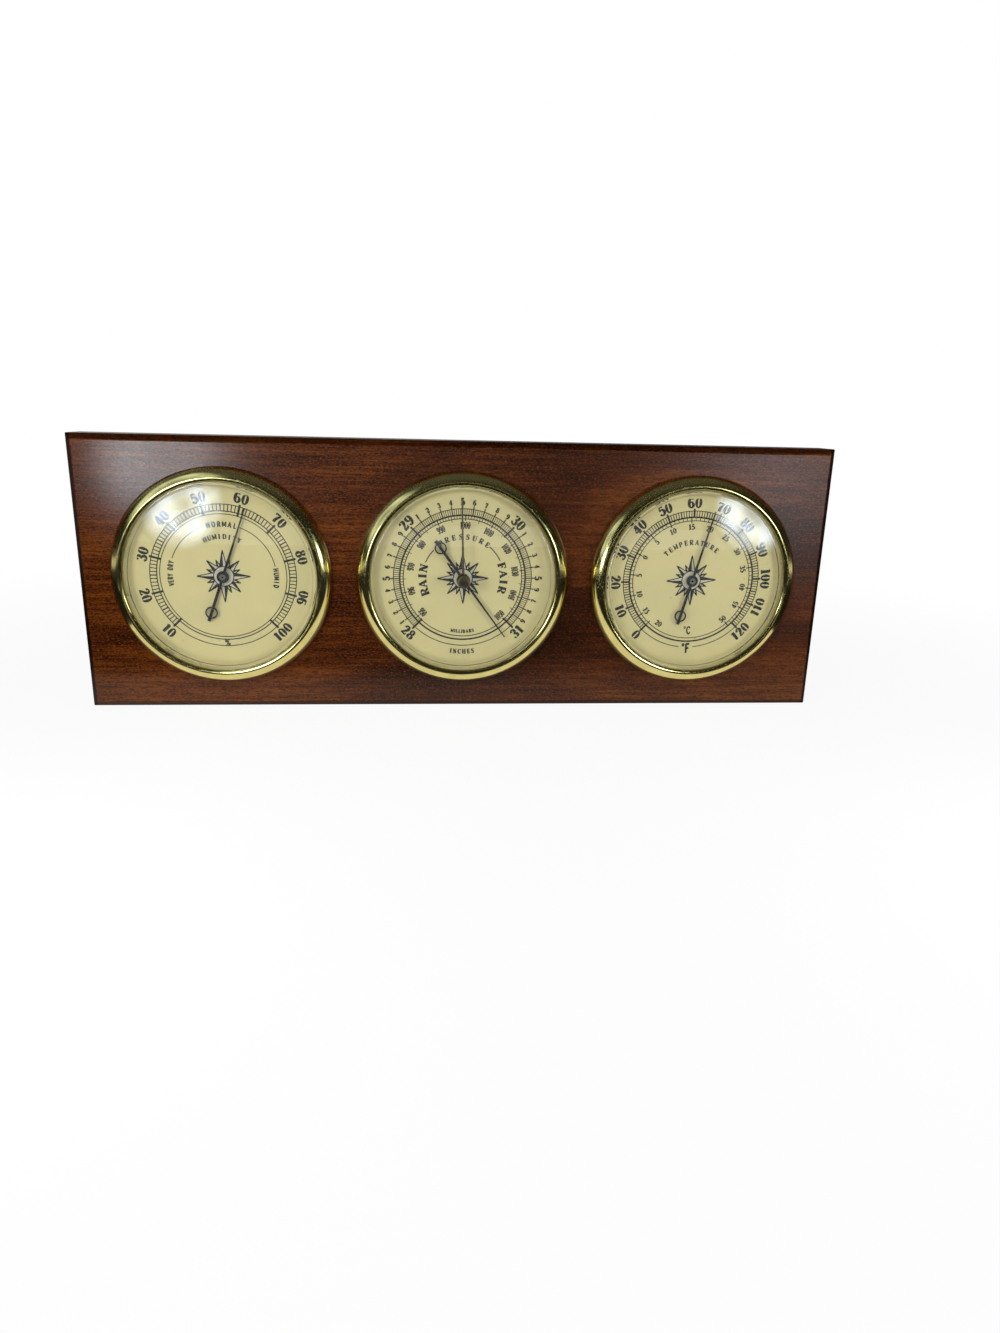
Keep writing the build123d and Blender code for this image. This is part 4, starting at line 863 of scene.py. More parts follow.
def half_ray(shape, angle, inner, outer, side, ink):
    """One side of a compass ray, from the middle line to its edge."""
    corners = [(0.0, inner), (side, inner), (side * RAY_TIP, outer), (0.0, outer)]
    face = shape.faces.new([shape.verts.new((x, y, 0.0)) for x, y in corners])
    tops = raise_faces(shape, [face], ink)
    bmesh.ops.transform(shape, matrix=clockwise(angle), verts=list(face.verts) + tops)


# Angles of the printed rays, their length and their half width, smallest first
RAYS = (
    ([22.5 + 45.0 * index for index in range(8)], 7.5, 1.35),
    ([45.0 + 90.0 * index for index in range(4)], 9.4, 1.75),
    ([90.0 * index for index in range(4)], 11.0, 1.85),
)
STAR_ROOT = 3.4
# How far the pale half of a ray stays inside its dark edge, and how much lower that edge is
PALE_SHORTER, PALE_NARROWER, EDGE_RISE = 1.6, 0.78, 0.94


def print_star(dark, light, turn):
    """Compass star: each ray has a dark half and a pale half with a dark edge."""
    ink = sizes().ink / MM
    for level, (angles, reach, side) in enumerate(RAYS):
        rise = ink * (1.0 + 0.5 * level)
        for angle in angles:
            half_ray(dark, angle + turn, STAR_ROOT, reach, -side, rise)
            half_ray(dark, angle + turn, STAR_ROOT, reach, side, rise * EDGE_RISE)
            half_ray(light, angle + turn, STAR_ROOT, reach - PALE_SHORTER, side * PALE_NARROWER, rise)


# Print of the dials: radii and widths in millimetres, angles in degrees clockwise from the top
NUMERAL = {"height": 4.5, "weight": 1.5}


def barometer_marks(shape):
    """Inches of mercury outside, millibars inside."""
    start, tenth_step, inch_turn = -135.7, 9.0, 90.0
    low_inch, low_millibars, inch_millibars = 28, 948.2, 33.8639
    outer, main, inner = 29.6, 26.9, 25.4
    for radius, width in ((outer, 0.36), (main, 0.7), (inner, 0.4)):
        print_arc(shape, radius, width)
    for fine in range(151):
        angle = start + fine * tenth_step / 5
        if fine % 50 == 0:
            print_tick(shape, angle, 24.9, 31.0, 0.9)
        elif fine % 5 == 0:
            print_tick(shape, angle, 27.0, 31.0, 0.5)
        else:
            print_tick(shape, angle, 27.0, outer, 0.29)
    for tenth in range(31):
        angle = start + tenth * tenth_step
        if tenth % 10 == 0:
            print_label(shape, str(low_inch + tenth // 10), angle, 33.5, **NUMERAL)
        else:
            radius, height = (32.6, 3.0) if tenth % 5 == 0 else (32.4, 2.2)
            print_label(shape, str(tenth % 10), angle, radius, height, condense=0.95, weight=1.75)
    for millibars in range(949, 1051):
        angle = start + (millibars - low_millibars) / inch_millibars * inch_turn
        labelled = millibars % 10 == 0
        end = 24.6 if labelled else 24.2 if millibars % 5 == 0 else inner
        print_tick(shape, angle, end, main, 0.46 if labelled else 0.29)
        if labelled:
            print_label(shape, str(millibars), angle, 22.7, 2.9, condense=0.58, weight=1.75, gap=0.02)
    print_word(shape, "RAIN", -110.1, -75.5, 17.3, 3.5, condense=1.28, weight=1.35)
    print_word(shape, "FAIR", 71.5, 106.3, 17.6, 3.4, condense=1.28, weight=1.35)
    print_word(shape, "PRESSURE", -32.5, 35.5, 17.8, 2.25, condense=1.1, weight=1.5)
    print_arc(shape, 17.3, 0.45, start=-67.0, end=-46.0)
    print_arc(shape, 17.7, 0.45, start=39.0, end=64.0)
    print_label(shape, "MILLIBARS", 180.0, 23.3, 1.5, condense=0.95, weight=1.8, gap=0.16, inward=True)
    print_label(shape, "INCHES", 180.0, 32.4, 2.1, condense=0.95, weight=1.6, gap=0.26, inward=True)


def hygrometer_marks(shape):
    """Relative humidity from 10 to 100."""
    start, percent_step, low_percent = -134.4, 3.0, 10
    outer, main, inner, words = 30.0, 27.2, 26.0, 21.8
    for radius, width in ((outer, 0.38), (main, 0.44), (inner, 0.36)):
        print_arc(shape, radius, width)
    for percent in range(low_percent, 101):
        angle = start + (percent - low_percent) * percent_step
        if percent % 10 == 0:
            print_tick(shape, angle, 25.8, 30.9, 0.9)
            print_label(shape, str(percent), angle, 33.6, height=4.4, weight=1.5)
        else:
            print_tick(shape, angle, main, outer, 0.55 if percent % 5 == 0 else 0.40)
    print_word(shape, "very", -99.5, -89.0, words, 2.3, condense=0.84, weight=1.75)
    print_word(shape, "dry", -82.0, -74.6, words, 2.3, condense=0.84, weight=1.75)
    print_word(shape, "normal", -13.5, 15.5, words, 2.3, condense=1.05, weight=1.6)
    print_word(shape, "humid", 82.5, 101.0, words, 2.3, condense=0.92, weight=1.75)
    print_word(shape, "HUMIDITY", -24.0, 25.5, 16.7, 2.05, condense=1.05, weight=1.5)
    print_arc(shape, words, 0.36, start=-70.0, end=-20.0)
    print_arc(shape, words, 0.36, start=20.0, end=78.5)
    print_label(shape, "%", 180.0, 28.6, 2.6, weight=1.6, gap=0.0, inward=True)


def thermometer_marks(shape):
    """Fahrenheit outside, Celsius inside."""
    start, degree_step = -136.9, 2.25
    outer, main, inner = 30.2, 27.5, 26.0
    print_arc(shape, outer, 0.36, start=-174.0, end=174.0)
    print_arc(shape, main, 0.7)
    print_arc(shape, inner, 0.36)
    for degree in range(121):
        angle = start + degree * degree_step
        if degree % 10 == 0:
            print_tick(shape, angle, main, 31.2, 0.85)
            print_label(shape, str(degree), angle, 33.7, **NUMERAL)
        else:
            print_tick(shape, angle, main, outer, 0.52 if degree % 5 == 0 else 0.38)
    for degree in range(-20, 51):
        angle = start + (degree * 1.8 + 32.0) * degree_step
        labelled = degree % 5 == 0
        if degree > -18 or labelled:
            end, width = (25.0, 0.5) if labelled else (inner, 0.3)
            print_tick(shape, max(angle, start), end, main, width)
        if labelled:
            print_label(shape, str(abs(degree)), angle, 23.4, 2.4, condense=0.95, weight=1.55)
    print_word(shape, "TEMPERATURE", -45.75, 37.5, 16.7, 2.2, weight=1.5)
    print_label(shape, "*c", 180.0, 22.5, 3.6, condense=0.9, weight=1.4, gap=0.05, inward=True)
    print_label(shape, "*f", 180.0, 30.8, 4.6, condense=0.9, weight=1.5, gap=0.05, inward=True)


MARKS = {"hygrometer": hygrometer_marks, "barometer": barometer_marks, "thermometer": thermometer_marks}
STAR_TURN = {"hygrometer": 0.0, "barometer": -0.7, "thermometer": -1.9}


# Stage, in metres

# Side, place, share of the glow in reflections and share of the power of each near lamp
LAMPS = (("left", (-0.183, -0.2305, 0.094), 1.0, 1.0), ("right", (0.222, -0.2145, 0.096), 1.1, 0.75))
LAMP_SIZE, LAMP_FACE, LAMP_PATCHES = 0.06, 0.1, 55.0
WINDOW_PLACE, WINDOW_SIZE, WINDOW_PATCHES = (-0.205, -0.11, 0.20), 0.25, 12.0
FILL_PLACE, FILL_SIZE = (-0.30, -0.9, 0.66), 1.3
GLOW_TINT = (0.72, 0.84, 1.0, 1.0)
# Black cards, which leave a strip of pale floor round the board
FLAG_EDGE = BOARD_LOW.y - 0.045
FLAGS = (("front_flag", (-0.8, -0.9), (0.8, FLAG_EDGE)), ("left_flag", (-0.8, FLAG_EDGE), (-0.2, 0.2)),
         ("right_flag", (0.2, FLAG_EDGE), (0.8, 0.2)))
FLAG_RISE, FLAG_TONE = 0.0003, (0.02, 0.02, 0.02, 1.0)
FLOOR_SIZE, FLOOR_GAP = 4.0, 0.00005
# Distances from the object between which the floor turns white, and how white it is near by and in mirrors
SHADOW_END, WHITE_START = 0.16, 0.45
NEAR_WHITE, MIRRORED_WHITE = 0.9, 0.75
WHITE = (1.0, 1.0, 1.0, 1.0)
# Headings between which mirrored rays find the ceiling, its brightness there, and the same of the back wall
CEILING, BACK_WALL = (0.55, 0.9, 0.02, 0.09), (0.45, 0.85, 0.0, 1.0)
# Brightness of a card's core and of its dim patches
CARD_CORE, CARD_DIM = 0.35, 0.45
CAMERA_PLACE = (-0.0166, -0.3796, 0.12535)
CAMERA_TURN = (73.91164, -1.38221, -4.76795)
SENSOR_WIDTH, CLIP_START = 36.0, 0.01


class StageOperator(bpy.types.Operator):
    """Sets the floor, the lamps, the white room and the camera"""
    bl_idname = "station.stage"
    bl_label = "Stage"

    def execute(self, context):
        stage = context.scene.station_stage
        self.make_floor()
        self.make_world(context.scene, stage)
        for side, place, glow_share, power_share in LAMPS:
            self.make_lamp(f"{side}_lamp", place, LAMP_SIZE, stage.lamp_power * power_share)
            self.make_card(f"{side}_lamp_face", place, LAMP_FACE, stage.lamp_glow * glow_share, LAMP_PATCHES)
        self.make_card("window_face", WINDOW_PLACE, WINDOW_SIZE, stage.window_glow, WINDOW_PATCHES)
        for name, low, high in FLAGS:
            self.make_flag(name, low, high)
        self.make_lamp("soft_fill", FILL_PLACE, FILL_SIZE, stage.fill_power)
        self.make_camera(context.scene, stage)
        context.scene.view_settings.view_transform = "Standard"
        return {"FINISHED"}

    def ray_shares(self, tree):
        """Shares of the rays that look at the background straight or through glass, and of mirrored rays."""
        path = add(tree, "ShaderNodeLightPath").outputs
        seen = calc(tree, "MAXIMUM", path["Is Camera Ray"], path["Is Transmission Ray"])
        return seen, path["Is Glossy Ray"]

    def stage_mesh(self, shape, name, material):
        """Makes a bmesh a piece of the stage."""
        mesh = bpy.data.meshes.new(name)
        shape.to_mesh(mesh)
        shape.free()
        mesh.materials.append(material)
        thing = bpy.data.objects.new(name, mesh)
        bpy.context.scene.collection.objects.link(thing)
        return thing

    def stage_material(self, name):
        """An empty material for a piece of the stage."""
        material = bpy.data.materials.new("station_" + name)
        material.use_nodes = True
        material.node_tree.nodes.clear()
        return material, material.node_tree

    def make_floor(self):
        """A pale floor that is white to the camera away from the object and keeps its shadow near by."""
        shape = bmesh.new()
        bmesh.ops.create_grid(shape, x_segments=1, y_segments=1, size=FLOOR_SIZE,
                              matrix=Matrix.Translation((0.0, 0.0, -FLOOR_GAP)))
        material, tree = self.stage_material("floor")
        seen, glossy = self.ray_shares(tree)
        place = add(tree, "ShaderNodeTexCoord").outputs["Object"]
        away = add(tree, "ShaderNodeVectorMath", {0: place}, operation="LENGTH").outputs["Value"]
        white = calc(tree, "MULTIPLY", seen, remap(tree, away, SHADOW_END, WHITE_START, NEAR_WHITE, 1.0))
        share = calc(tree, "MAXIMUM", white, calc(tree, "MULTIPLY", glossy, MIRRORED_WHITE))
        matt = add(tree, "ShaderNodeBsdfDiffuse", {"Color": opaque(*colours().floor)})
        glow = add(tree, "ShaderNodeEmission", {"Color": WHITE, "Strength": 1.0})
        mix = add(tree, "ShaderNodeMixShader", {0: share, 1: matt.outputs[0], 2: glow.outputs[0]})
        add(tree, "ShaderNodeOutputMaterial", {"Surface": mix.outputs[0]})
        self.stage_mesh(shape, "floor", material)

    def make_flag(self, name, low, high):
        """A black card on the floor that only mirrored rays meet; it keeps the metal dark."""
        shape = bmesh.new()
        span = Matrix.Diagonal(((high[0] - low[0]) / 2, (high[1] - low[1]) / 2, 1.0, 1.0))
        middle = Matrix.Translation(((high[0] + low[0]) / 2, (high[1] + low[1]) / 2, FLAG_RISE))
        bmesh.ops.create_grid(shape, x_segments=1, y_segments=1, size=1.0, matrix=middle @ span)
        material, tree = self.stage_material(name)
        matt = add(tree, "ShaderNodeBsdfDiffuse", {"Color": FLAG_TONE})
        add(tree, "ShaderNodeOutputMaterial", {"Surface": matt.outputs[0]})
        self.show_in_mirrors_only(self.stage_mesh(shape, name, material))

    def show_in_mirrors_only(self, card):
        """Hides a card from all rays but mirrored ones."""
        card.visible_camera = card.visible_diffuse = card.visible_transmission = card.visible_shadow = False

    def make_world(self, scene, stage):
        """A white room; mirrored rays see it white behind the object, dim overhead and dark elsewhere."""
        world = bpy.data.worlds.new("white_room")
        world.use_nodes = True
        tree = world.node_tree
        tree.nodes.clear()
        seen, glossy = self.ray_shares(tree)
        direction = add(tree, "ShaderNodeTexCoord").outputs["Generated"]
        heading = add(tree, "ShaderNodeSeparateXYZ", {0: direction})
        ceiling = remap(tree, heading.outputs["Z"], *CEILING)
        mirrored = calc(tree, "MAXIMUM", remap(tree, heading.outputs["Y"], *BACK_WALL), ceiling)
        level = mixed(tree, glossy, opaque(*[stage.room_light] * 3), mirrored)
        inputs = {"Color": mixed(tree, seen, level, WHITE), "Strength": 1.0}
        background = add(tree, "ShaderNodeBackground", inputs)
        add(tree, "ShaderNodeOutputWorld", {"Surface": background.outputs[0]})
        scene.world = world

    def make_card(self, name, place, size, strength, patches):
        """A round glowing face that only mirrored rays meet, brighter in patches and soft at its edge."""
        aim = (BOARD_MIDDLE - Vector(place)).to_track_quat("Z", "Y").to_matrix().to_4x4()
        shape = bmesh.new()
        bmesh.ops.create_circle(shape, cap_ends=True, segments=48, radius=size / 2)
        shape.transform(Matrix.Translation(place) @ aim)
        material, tree = self.stage_material(name)
        here = add(tree, "ShaderNodeTexCoord").outputs["Object"]
        offset = add(tree, "ShaderNodeVectorMath", {0: here, 1: place}, operation="SUBTRACT").outputs[0]
        away = add(tree, "ShaderNodeVectorMath", {0: offset}, operation="LENGTH").outputs["Value"]
        fade = {"Value": away, "From Min": size / 4, "From Max": size / 2, "To Min": 1.0, "To Max": 0.0}
        soft = add(tree, "ShaderNodeMapRange", fade, interpolation_type="SMOOTHSTEP")
        core = remap(tree, away, size * 0.05, size * 0.2, CARD_CORE, 1.0)
        patchy = remap(tree, noise(tree, here, patches, 1.0, 0.4), 0.35, 0.62, CARD_DIM, 1.0)
        level = calc(tree, "MULTIPLY", soft.outputs[0], calc(tree, "MULTIPLY", core, patchy))
        bright = calc(tree, "MULTIPLY", level, strength)
        glow = add(tree, "ShaderNodeEmission", {"Color": GLOW_TINT, "Strength": bright})
        add(tree, "ShaderNodeOutputMaterial", {"Surface": glow.outputs[0]})
        self.show_in_mirrors_only(self.stage_mesh(shape, name, material))

    def make_lamp(self, name, place, size, power):
        """A round lamp that is aimed at the board and isn't seen itself."""
        light = bpy.data.lights.new(name, "AREA")
        light.shape = "DISK"
        light.size = size
        light.energy = power
        lamp = bpy.data.objects.new(name, light)
        lamp.location = place
        lamp.rotation_mode = "QUATERNION"
        lamp.rotation_quaternion = (BOARD_MIDDLE - lamp.location).to_track_quat("-Z", "Y")
        lamp.visible_camera = lamp.visible_glossy = lamp.visible_transmission = False
        bpy.context.scene.collection.objects.link(lamp)

    def make_camera(self, scene, stage):
        """The camera, in front of the board and a little above it."""
        data = bpy.data.cameras.new("camera")
        data.lens = stage.lens
        data.sensor_width = SENSOR_WIDTH
        data.clip_start = CLIP_START
        camera = bpy.data.objects.new("camera", data)
        turn = Euler([math.radians(angle) for angle in CAMERA_TURN])
        camera.matrix_world = Matrix.Translation(CAMERA_PLACE) @ turn.to_matrix().to_4x4()
        scene.collection.objects.link(camera)
        scene.camera = camera


# Faces that look this much to the front or back have the varnish of the flats
FLAT_SHARE = 0.95
# Recesses of the board, in millimetres; a bore's cutter is longer than the board is thick
BORE_RADIUS, BORE_SEGMENTS, BORE_OVERRUN = 41.05, 160, 1.4
PLATE_HALF_WIDTH, PLATE_DEPTH, PLATE_PLAY = 8.0, 1.5, 0.2
POCKET_RADIUS, POCKET_REACH, POCKET_DEPTH, POCKET_SEGMENTS = 6.05, 11.05, 11.5, 48


class BoardOperator(bpy.types.Operator):
    """Makes the bevelled board with its gauge holes and hanger recesses"""
    bl_idname = "station.board"
    bl_label = "Board"

    def execute(self, context):
        shape = bmesh.new()
        block = Matrix.Translation(BOARD_MIDDLE) @ Matrix.Diagonal((*BOARD_SIZE, 1.0))
        bmesh.ops.create_cube(shape, size=1.0, matrix=block)
        front = [edge for edge in shape.edges if all(vert.co.y < BOARD_MIDDLE.y for vert in edge.verts)]
        bmesh.ops.bevel(shape, geom=front, offset=sizes().board_bevel, offset_type="OFFSET", affect="EDGES",
                        segments=1, profile=0.5, material=-1)
        bmesh.ops.bevel(shape, geom=list(shape.edges), offset=sizes().board_arris, offset_type="OFFSET",
                        affect="EDGES", segments=2, profile=0.5, material=-1)
        shape = self.recess_hangers(shape)
        shape = cut(shape, self.gauge_bores())
        for face in shape.faces:
            face.material_index = 0 if abs(face.normal.y) > FLAT_SHARE else 1
        piece(shape, "bevelled_board", Matrix.Identity(4), ["wood", "wood_edge"], "station",
              ["board"], smooth=False)
        return {"FINISHED"}

    def gauge_bores(self):
        """Cutter for the holes that the three gauges sit in."""
        cutter = bmesh.new()
        for gauge in GAUGES:
            low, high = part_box(f"{gauge}_bezel")
            place = Matrix.Translation(((low.x + high.x) / 2, BOARD_MIDDLE.y, (low.z + high.z) / 2)) @ UPRIGHT
            bmesh.ops.create_cone(cutter, cap_ends=True, segments=BORE_SEGMENTS, radius1=BORE_RADIUS * MM,
                                  radius2=BORE_RADIUS * MM, depth=BOARD_SIZE.y * BORE_OVERRUN,
                                  matrix=place)
        return cutter

    def recess_hangers(self, shape):
        """The board with the seats of the two hanger plates and the pockets behind them cut into its back."""
        low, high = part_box("hanger_plates")
        half_width, half_height = PLATE_HALF_WIDTH * MM, (high.z - low.z) / 2
        for x in (low.x + half_width, high.x - half_width):
            place = Matrix.Translation((x, BOARD_HIGH.y, low.z + half_height)) @ UPRIGHT
            for radius, reach, depth in (
                    (half_width + PLATE_PLAY * MM, half_height + PLATE_PLAY * MM, PLATE_DEPTH * MM),
                    (POCKET_RADIUS * MM, POCKET_REACH * MM, POCKET_DEPTH * MM)):
                shape = cut(shape, self.pocket(radius, reach, depth, place))
        return shape

    def pocket(self, radius, reach, depth, place, clear=0.001):
        """Cutter for an upright round-ended pocket that starts a little above the face it is cut in."""
        shape = bmesh.new()
        bmesh.ops.create_circle(shape, cap_ends=True, segments=POCKET_SEGMENTS, radius=radius,
                                matrix=Matrix.Rotation(math.pi / POCKET_SEGMENTS, 4, "Z"))
        for vert in shape.verts:
            vert.co.y += math.copysign(reach - radius, vert.co.y)
            vert.co.z -= clear
        raise_faces(shape, list(shape.faces), depth + clear)
        bmesh.ops.recalc_face_normals(shape, faces=shape.faces)
        shape.transform(place)
        return shape


# Profile of a bezel, in millimetres and degrees
FLANK_RADIUS, FLANK_LOW, FLANK_HIGH = 7.17, 18, 66
NOSE_RADIUS, NOSE_START, NOSE_END = 1.1, 72, 90
ROLL_START, ROLL_END, ROLL_WIDTH = 98, 180, 6.0
INSIDE_START, INSIDE_HEIGHT = 64, 4.1
FOOT_WIDTH, FOOT_THICKNESS = 3.5, 0.6


class BezelOperator(bpy.types.Operator):
    """Spins the three polished bezels"""
    bl_idname = "station.bezels"
    bl_label = "Bezels"

    def execute(self, context):
        low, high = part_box("barometer_bezel")
        outer = (high.x - low.x) / 2 / MM
        wall, top = sizes().bezel_wall / MM, sizes().bezel_height / MM
        within = FLANK_RADIUS - NOSE_RADIUS
        centre = outer - FLANK_RADIUS * math.cos(math.radians(FLANK_LOW))
        crown = centre + within * math.cos(math.radians(FLANK_HIGH))
        nose = top - NOSE_RADIUS
        sunk = nose - within * math.sin(math.radians(FLANK_HIGH))
        sight, inside = outer - ROLL_WIDTH, FLANK_RADIUS - wall
        profile = [(outer, 0.0)] + arc(centre, sunk, FLANK_RADIUS, FLANK_RADIUS, FLANK_LOW, FLANK_HIGH, 16)
        profile += arc(crown, nose, NOSE_RADIUS, NOSE_RADIUS, NOSE_START, NOSE_END, 4)
        profile += arc(crown, nose, crown - sight, NOSE_RADIUS, ROLL_START, ROLL_END, 8)
        profile += [(sight, INSIDE_HEIGHT), (crown, INSIDE_HEIGHT)]
        profile += arc(centre, sunk, inside, inside, INSIDE_START, FLANK_LOW, 12)
        foot = outer - FOOT_WIDTH
        profile += [(outer - wall, FOOT_THICKNESS), (foot, FOOT_THICKNESS), (foot, 0.0)]
        for gauge in GAUGES:
            piece(spun(profile), f"{gauge}_bezel_ring", gauge_place(gauge), ["polished_brass"], "station",
                  [f"{gauge}_bezel"])
        return {"FINISHED"}


# Crystals and dials, in millimetres: both reach out to the rim and meet at the seat
RIM_RADIUS, SEAT_HEIGHT = 41.4, 2.6
CRYSTAL_THICKNESS, CRYSTAL_WALL, CRYSTAL_INSIDE = 1.5, 38.9, 37.4
CRYSTAL_CORNER, CRYSTAL_STEPS = 1.0, 24
STEM_HOLE = {"hygrometer": 0.0, "barometer": 0.95, "thermometer": 0.0}


class CrystalOperator(bpy.types.Operator):
    """Spins the three clear domed crystals; the barometer's has a hole for its set hand"""
    bl_idname = "station.crystals"
    bl_label = "Crystals"

    def execute(self, context):
        top, bow = sizes().crystal_height / MM, sizes().crystal_dome / MM
        for gauge in GAUGES:
            hole = STEM_HOLE[gauge]
            shoulder = CRYSTAL_WALL - CRYSTAL_CORNER
            profile = self.dome(hole, shoulder, top, bow)
            edge = profile[-1][1] - CRYSTAL_CORNER
            profile += arc(shoulder, edge, CRYSTAL_CORNER, CRYSTAL_CORNER, 80, 0, 6)
            flange = SEAT_HEIGHT + CRYSTAL_THICKNESS
            profile += [(CRYSTAL_WALL, flange), (RIM_RADIUS, flange), (RIM_RADIUS, SEAT_HEIGHT),
                        (CRYSTAL_INSIDE, SEAT_HEIGHT)]
            profile += self.dome(CRYSTAL_INSIDE, hole, top - CRYSTAL_THICKNESS, bow - CRYSTAL_THICKNESS)
            piece(spun(profile, closed=hole > 0.0), f"{gauge}_crystal_dome", gauge_place(gauge), ["crystal"],
                  "station", [f"{gauge}_crystal"])
        return {"FINISHED"}

    def dome(self, start, end, top, bow):
        """Profile of a domed face between two radii, from its middle's height and its bow's radius."""
        points = []
        for step in range(CRYSTAL_STEPS + 1):
            radius = start + (end - start) * step / CRYSTAL_STEPS
            points.append((radius, top - (bow - math.sqrt(bow * bow - radius * radius))))
        return points


# Radii of a dial's hole and of a ring on its floor, and the thickness of its sheet, in millimetres
DIAL_HOLE, DIAL_RING, DIAL_SHEET = 1.9, 20.0, 0.6
# Where the dial's floor turns up, the radius of that turn, and the lean and the two faces of its wall
DIAL_FLOOR, DIAL_TURN, DIAL_LEAN = 35.208, 2.0, -20.3
DIAL_WALL_INSIDE, DIAL_WALL_OUTSIDE = 38.3, 38.72
# Radius at which the painted shade on a dial's wall is full
RIM_SHADE_RADIUS = 37.1


class DialOperator(bpy.types.Operator):
    """Spins the three cream dial pans"""
    bl_idname = "station.dials"
    bl_label = "Dial pans"

    def execute(self, context):
        face = -sizes().dial_depth / MM
        centre, under, flange = face + DIAL_TURN, DIAL_TURN + DIAL_SHEET, SEAT_HEIGHT - DIAL_SHEET
        profile = [(DIAL_HOLE, face), (DIAL_RING, face)]
        profile += arc(DIAL_FLOOR, centre, DIAL_TURN, DIAL_TURN, -90, DIAL_LEAN, 8)
        profile += [(DIAL_WALL_INSIDE, SEAT_HEIGHT), (RIM_RADIUS, SEAT_HEIGHT), (RIM_RADIUS, flange),
                    (DIAL_WALL_OUTSIDE, flange)]
        profile += arc(DIAL_FLOOR, centre, under, under, DIAL_LEAN, -90, 8) + [(DIAL_HOLE, face - DIAL_SHEET)]
        for gauge in GAUGES:
            pan = spun(profile)
            reach = pan.verts.layers.float.new("reach")
            for vert in pan.verts:
                share = (vert.co.xy.length - DIAL_FLOOR) / (RIM_SHADE_RADIUS - DIAL_FLOOR)
                vert[reach] = min(1.0, max(0.0, share))
            piece(pan, f"{gauge}_dial_pan", gauge_place(gauge), ["dial_enamel"], "station",
                  [f"{gauge}_dial"])
        return {"FINISHED"}


# Rings at the middle of a star: inner radius, then outer radius and height in layers of ink
STAR_HOLE = 1.95
DARK_RING, PALE_RING = (4.35, 2.2), (3.95, 2.8)


class PrintOperator(bpy.types.Operator):
    """Prints the scales, the numbers and the compass star on each dial"""
    bl_idname = "station.dial_print"
    bl_label = "Dial print"

    def execute(self, context):
        ink = sizes().ink / MM
        for gauge in GAUGES:
            place = gauge_place(gauge) @ Matrix.Translation((0.0, 0.0, -sizes().dial_depth / MM))
            scale = bmesh.new()
            MARKS[gauge](scale)
            piece(scale, f"{gauge}_scale", place, ["ink"], "station", smooth=False)
            dark, light = bmesh.new(), bmesh.new()
            print_star(dark, light, STAR_TURN[gauge])
            for shape, (radius, layers) in ((dark, DARK_RING), (light, PALE_RING)):
                section = [(STAR_HOLE, 0.0), (radius, 0.0), (radius, ink * layers), (STAR_HOLE, ink * layers)]
                joined(shape, spun(section, steps=64))
                bmesh.ops.recalc_face_normals(shape, faces=shape.faces)
            piece(dark, f"{gauge}_star", place, ["ink"], "station", smooth=False)
            piece(light, f"{gauge}_star_pale", place, ["star_light"], "station", smooth=False)
        return {"FINISHED"}


# Eyelet of a hand, in millimetres: its sunk middle, its foot and the radius within which painted shade
# blackens its sunk middle
EYELET_SUNK = [(0.0, 0.41), (0.42, 0.41), (0.50, 0.50)]
EYELET_FOOT, EYELET_SHADED_MIDDLE = [(1.30, 0.0), (0.0, 0.0)], 0.46
# Middle radius, height, half width and rise of its rolled rim
EYELET_ROLL = (0.95, 0.30, 0.35, 0.28)


class HubOperator(bpy.types.Operator):
    """Spins the rolled eyelets at the middle of the hands"""
    bl_idname = "station.hubs"
    bl_label = "Hand eyelets"

    def execute(self, context):
        profile = EYELET_SUNK + arc(*EYELET_ROLL, start=150, end=0, steps=8) + EYELET_FOOT
        for gauge in GAUGES:
            shape = spun(profile, closed=False, steps=48)
            for face in shape.faces:
                reach = max(math.hypot(vert.co.x, vert.co.y) for vert in face.verts)
                # Painted shade: the faces of the sunk middle are painted black for the shade in its hollow
                face.material_index = 1 if reach < EYELET_SHADED_MIDDLE else 0
            piece(shape, f"{gauge}_rolled_eyelet", gauge_place(gauge), ["nickel", "black_enamel"],
                  f"{gauge}_pointer", [f"{gauge}_hand_eyelet"])
        return {"FINISHED"}


# Foot of a rib as a share of the knob's radius, and the rounding of the knob's edge in millimetres
RIB_FOOT, KNOB_ROUND = 0.955, 0.45


class KnobOperator(bpy.types.Operator):
    """Makes the ribbed knob of the barometer's set hand"""
    bl_idname = "station.knob"
    bl_label = "Set knob"

    def execute(self, context):
        low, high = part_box("barometer_set_knob")
        radius = (high.x - low.x) / 2 / MM
        base, top = (BOARD_LOW.y - high.y) / MM, (BOARD_LOW.y - low.y) / MM
        shape = bmesh.new()
        bmesh.ops.create_circle(shape, cap_ends=True, segments=2 * sizes().knob_teeth, radius=radius)
        for index, vert in enumerate(shape.verts):
            vert.co *= 1.0 if index % 2 else RIB_FOOT
        bmesh.ops.translate(shape, vec=(0.0, 0.0, base), verts=shape.verts)
        raise_faces(shape, list(shape.faces), top - base)
        bmesh.ops.recalc_face_normals(shape, faces=shape.faces)
        rim = [edge for edge in shape.edges if all(vert.co.z > top - MERGE for vert in edge.verts)]
        bmesh.ops.bevel(shape, geom=rim, offset=KNOB_ROUND, offset_type="OFFSET", affect="EDGES", segments=3,
                        profile=0.5, material=-1)
        piece(shape, "ribbed_set_knob", gauge_place("barometer"), ["knob_brass"], "set_pointer",
              ["barometer_set_knob"])
        return {"FINISHED"}


# Screws of the hanger plates, in millimetres, and how far each was turned home, in radians
SCREW_HEAD, SCREW_SHANK, HEAD_DEPTH, TIP_LENGTH, TIP_RADIUS = 3.0, 1.5, 1.5, 1.6, 0.35
HEAD_ROUND, HEAD_EDGE = 0.25, 0.12
CROSS_ARM, CROSS_RISE, CROSS_TAPER = (3.3, 0.62, 1.4), -0.2, 0.6
SCREW_TURNS = (0.35, 1.1, -0.2, 0.8)


